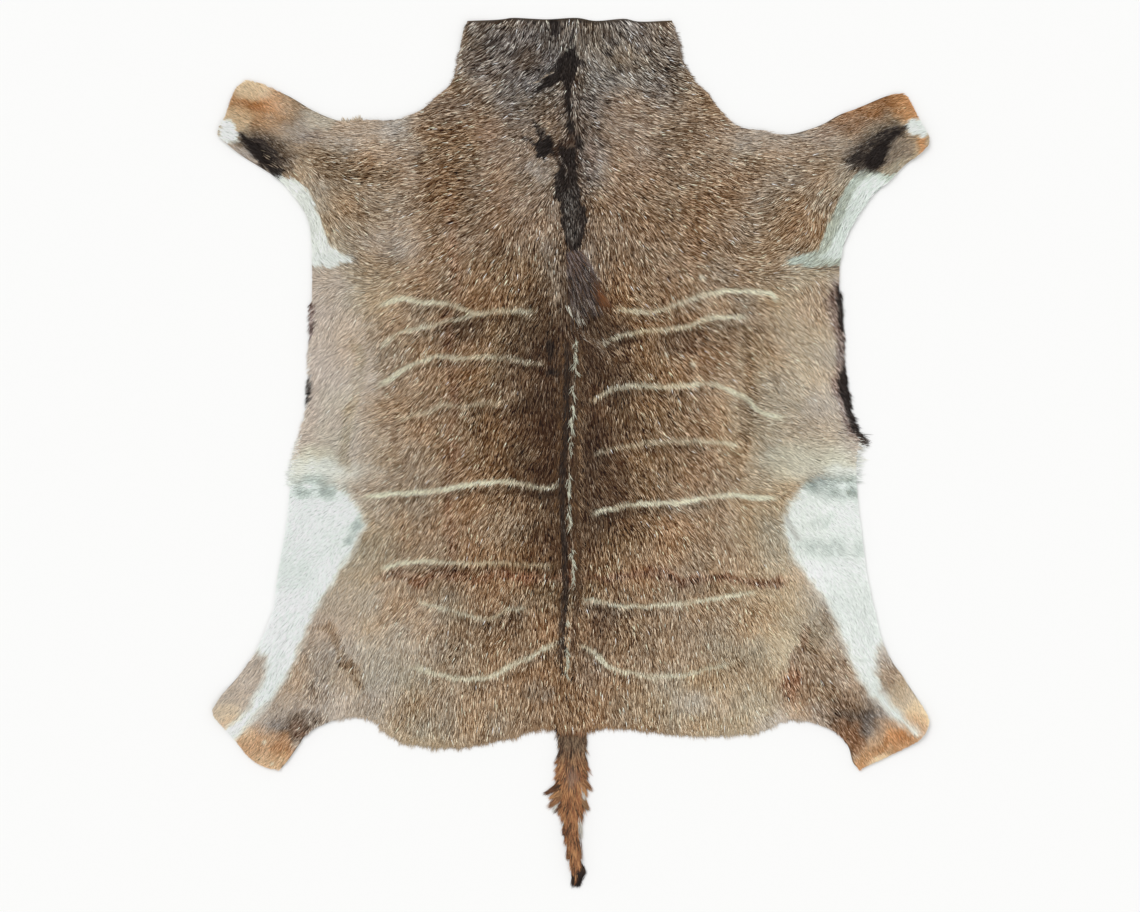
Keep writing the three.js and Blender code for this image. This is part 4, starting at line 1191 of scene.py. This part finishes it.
# The skin under the hair
def build_skin():
    """The cut sheet: one face cut from the outline, sliced into small facets, then given its thickness."""
    bm = bmesh.new()
    corners = [bm.verts.new((px, py, 0)) for px, py in outline]
    bm.faces.new(corners)
    for axis, low, high in ((0, -712, 712), (1, -856, 868)):
        for at in np.arange(low, high, SKIN_MESH):
            where, normal = [0, 0, 0], [0, 0, 0]
            where[axis], normal[axis] = float(at) + 0.013, 1
            bmesh.ops.bisect_plane(bm, geom=bm.verts[:] + bm.edges[:] + bm.faces[:], dist=1e-4,
                                   plane_co=where, plane_no=normal)
    bmesh.ops.recalc_face_normals(bm, faces=bm.faces)
    if sum(f.normal.z for f in bm.faces) < 0:
        bmesh.ops.reverse_faces(bm, faces=bm.faces[:])
    sheet_faces = bm.faces[:]
    made = bmesh.ops.extrude_face_region(bm, geom=sheet_faces, use_keep_orig=True)
    raised = [item for item in made["geom"] if isinstance(item, bmesh.types.BMVert)]
    bmesh.ops.translate(bm, vec=(0, 0, 1), verts=raised)
    bmesh.ops.recalc_face_normals(bm, faces=bm.faces)
    mesh = bpy.data.meshes.new("hide_skin")
    bm.to_mesh(mesh)
    bm.free()
    place = np.empty(len(mesh.vertices) * 3, np.float32)
    mesh.vertices.foreach_get("co", place)
    place = place.reshape(-1, 3).astype(float)
    x, y, top = place[:, 0], place[:, 1], place[:, 2] > 0.5
    place[:, 2] = np.where(top, skin_top(x, y) - 0.6, lift_at(x, y))
    mesh.vertices.foreach_set("co", (place * MM).astype(np.float32).reshape(-1))
    mesh.update()
    under = np.clip(coat_colour(x, y), 0, 1)
    # Painted shade: the skin's top takes the coat's colour at about half its brightness, less darkened under
    # pale hair.
    store_coat(mesh, to_linear(under) * (0.5 + 0.4 * paleness(under))[:, None])
    normals = np.empty(len(mesh.polygons) * 3, np.float32)
    mesh.polygons.foreach_get("normal", normals)
    up = normals[2::3]
    slots = np.where(up > 0.5, 0, np.where(up < -0.5, 1, 2)).astype(np.int32)
    mesh.polygons.foreach_set("material_index", slots)
    return add_object("hide_skin", mesh)


hide_skin = build_skin()


# Materials
def new_material(name):
    material = bpy.data.materials.new(name)
    material.use_nodes = True
    material.node_tree.nodes.clear()
    return material


def add_node(material, kind, inputs=None, **settings):
    """Adds one node with its settings; an input is a value or another node's output."""
    made = material.node_tree.nodes.new(kind)
    for name, value in settings.items():
        setattr(made, name, value)
    for name, value in (inputs or {}).items():
        if isinstance(value, bpy.types.NodeSocket):
            material.node_tree.links.new(value, made.inputs[name])
        else:
            made.inputs[name].default_value = value
    return made


def hair_material():
    """Antelope guard hair, keratin: straight, coarse and matte, with a faint gleam along the lie."""
    material = new_material("kudu_guard_hair")
    tone = add_node(material, "ShaderNodeAttribute", attribute_name="coat")
    surface = add_node(material, "ShaderNodeBsdfPrincipled", {
        "Base Color": tone.outputs["Color"], "Roughness": 0.62, "IOR": 1.55, "Specular IOR Level": 0.14,
        "Sheen Weight": 0.03, "Sheen Roughness": 0.45})
    add_node(material, "ShaderNodeOutputMaterial", {"Surface": surface.outputs["BSDF"]})
    return material


def hair_root_material():
    """The woolly roots that fill the coat down to the skin, quite matte; their colour is the coat's, darkened
    as painted shade deep in the coat.
    """
    material = new_material("hair_roots_on_tanned_skin")
    tone = add_node(material, "ShaderNodeAttribute", attribute_name="coat")
    place = add_node(material, "ShaderNodeTexCoord")
    grain = add_node(material, "ShaderNodeTexNoise", {
        "Vector": place.outputs["Object"], "Scale": 1 / (2.2 * MM), "Detail": 4.0, "Roughness": 0.65})
    level = add_node(material, "ShaderNodeMapRange", {
        "Value": grain.outputs["Fac"], "From Min": 0.3, "From Max": 0.7, "To Min": 0.6, "To Max": 1.3})
    shade = add_node(material, "ShaderNodeVectorMath", {0: tone.outputs["Color"], 1: level.outputs["Result"]},
                     operation="MULTIPLY")
    bump = add_node(material, "ShaderNodeBump", {
        "Height": grain.outputs["Fac"], "Strength": 0.7, "Distance": 0.8 * MM})
    surface = add_node(material, "ShaderNodeBsdfPrincipled", {
        "Base Color": shade.outputs["Vector"], "Roughness": 0.9, "Specular IOR Level": 0.1,
        "Normal": bump.outputs["Normal"]})
    add_node(material, "ShaderNodeOutputMaterial", {"Surface": surface.outputs["BSDF"]})
    return material


def suede_material():
    """Flesh side of chrome-and-alum tanned skin: cream suede, fine nap, slightly blotched by the paring."""
    material = new_material("flesh_side_suede")
    place = add_node(material, "ShaderNodeTexCoord")
    blotch = add_node(material, "ShaderNodeTexNoise", {
        "Vector": place.outputs["Object"], "Scale": 1 / (90 * MM), "Detail": 5.0, "Roughness": 0.6})
    nap = add_node(material, "ShaderNodeTexNoise", {
        "Vector": place.outputs["Object"], "Scale": 1 / (1.6 * MM), "Detail": 3.0, "Roughness": 0.7})
    veins = add_node(material, "ShaderNodeTexNoise", {
        "Vector": place.outputs["Object"], "Scale": 1 / (28 * MM), "Detail": 6.0, "Roughness": 0.55,
        "Distortion": 1.2})
    tone = add_node(material, "ShaderNodeValToRGB", {"Fac": blotch.outputs["Fac"]})
    ramp = tone.color_ramp
    ramp.elements[0].position, ramp.elements[1].position = 0.32, 0.68
    ramp.elements[0].color = (*to_linear("#c2b49c"), 1)
    ramp.elements[1].color = (*to_linear("#ddd2bf"), 1)
    level = add_node(material, "ShaderNodeMapRange", {
        "Value": veins.outputs["Fac"], "From Min": 0.35, "From Max": 0.65, "To Min": 0.88, "To Max": 1.04})
    fine = add_node(material, "ShaderNodeMapRange", {
        "Value": nap.outputs["Fac"], "From Min": 0.3, "From Max": 0.7, "To Min": 0.92, "To Max": 1.06})
    both = add_node(material, "ShaderNodeMath", {0: level.outputs["Result"], 1: fine.outputs["Result"]},
                    operation="MULTIPLY")
    shade = add_node(material, "ShaderNodeVectorMath", {0: tone.outputs["Color"], 1: both.outputs["Value"]},
                     operation="MULTIPLY")
    bump = add_node(material, "ShaderNodeBump", {
        "Height": nap.outputs["Fac"], "Strength": 0.5, "Distance": 0.4 * MM})
    surface = add_node(material, "ShaderNodeBsdfPrincipled", {
        "Base Color": shade.outputs["Vector"], "Roughness": 0.93, "Specular IOR Level": 0.15,
        "Sheen Weight": 0.2, "Normal": bump.outputs["Normal"]})
    add_node(material, "ShaderNodeOutputMaterial", {"Surface": surface.outputs["BSDF"]})
    return material


def cut_edge_material():
    """The knife-cut rim of the skin: grey-brown leather, a little darkened."""
    material = new_material("cut_leather_edge")
    place = add_node(material, "ShaderNodeTexCoord")
    grain = add_node(material, "ShaderNodeTexNoise", {
        "Vector": place.outputs["Object"], "Scale": 1 / (5 * MM), "Detail": 4.0, "Roughness": 0.6})
    tone = add_node(material, "ShaderNodeValToRGB", {"Fac": grain.outputs["Fac"]})
    ramp = tone.color_ramp
    ramp.elements[0].position, ramp.elements[1].position = 0.35, 0.65
    ramp.elements[0].color = (*to_linear("#3d352f"), 1)
    ramp.elements[1].color = (*to_linear("#6e6357"), 1)
    surface = add_node(material, "ShaderNodeBsdfPrincipled", {
        "Base Color": tone.outputs["Color"], "Roughness": 0.8, "Specular IOR Level": 0.2})
    add_node(material, "ShaderNodeOutputMaterial", {"Surface": surface.outputs["BSDF"]})
    return material


def floor_material():
    """Matt white studio board."""
    material = new_material("matt_white_board")
    surface = add_node(material, "ShaderNodeBsdfPrincipled", {
        "Base Color": (*to_linear("#f6f6f5"), 1), "Roughness": 0.95, "Specular IOR Level": 0.0})
    add_node(material, "ShaderNodeOutputMaterial", {"Surface": surface.outputs["BSDF"]})
    return material


guard_hair = hair_material()
for piece in hair_pieces:
    piece.data.materials.append(guard_hair)
for material in (hair_root_material(), suede_material(), cut_edge_material()):
    hide_skin.data.materials.append(material)

# What the pieces stand for
for piece in [hide_skin, *hair_pieces]:
    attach(piece, "root")
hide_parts("hide")

# Floor, light and camera
bm = bmesh.new()
bmesh.ops.create_grid(bm, x_segments=1, y_segments=1, size=30)
bmesh.ops.translate(bm, vec=(0, 0, -0.0006), verts=bm.verts)
floor_mesh = bpy.data.meshes.new("floor")
bm.to_mesh(floor_mesh)
bm.free()
floor_mesh.materials.append(floor_material())
floor = add_object("floor", floor_mesh)

world = bpy.data.worlds.new("studio")
world.use_nodes = True
world.node_tree.nodes["Background"].inputs["Color"].default_value = (1, 1, 1, 1)
world.node_tree.nodes["Background"].inputs["Strength"].default_value = 0.62
bpy.context.scene.world = world


def soft_sun(name, strength, spread, tilt, heading):
    """A wide even light: degrees of spread, tilt from overhead, and heading it comes from."""
    data = bpy.data.lights.new(name, "SUN")
    data.energy, data.angle = strength, math.radians(spread)
    add_object(name, data).rotation_euler = (math.radians(tilt), 0, math.radians(heading))


soft_sun("key", 1.25, 35, 42, 215)
soft_sun("fill", 0.5, 60, 30, 30)

camera_data = bpy.data.cameras.new("camera")
camera = add_object("camera", camera_data)
CAMERA_HEIGHT = 4.5
FRAME_WIDTH = 2.28  # 1140 pixels of 2 mm
FILM_WIDTH = 36
camera.location = (-0.002, -0.004, CAMERA_HEIGHT)
camera_data.sensor_width = FILM_WIDTH
camera_data.lens = FILM_WIDTH * CAMERA_HEIGHT / FRAME_WIDTH
camera_data.clip_end = 100
bpy.context.scene.camera = camera

bpy.context.scene.view_settings.view_transform = "Standard"
bpy.context.scene.view_settings.look = "None"
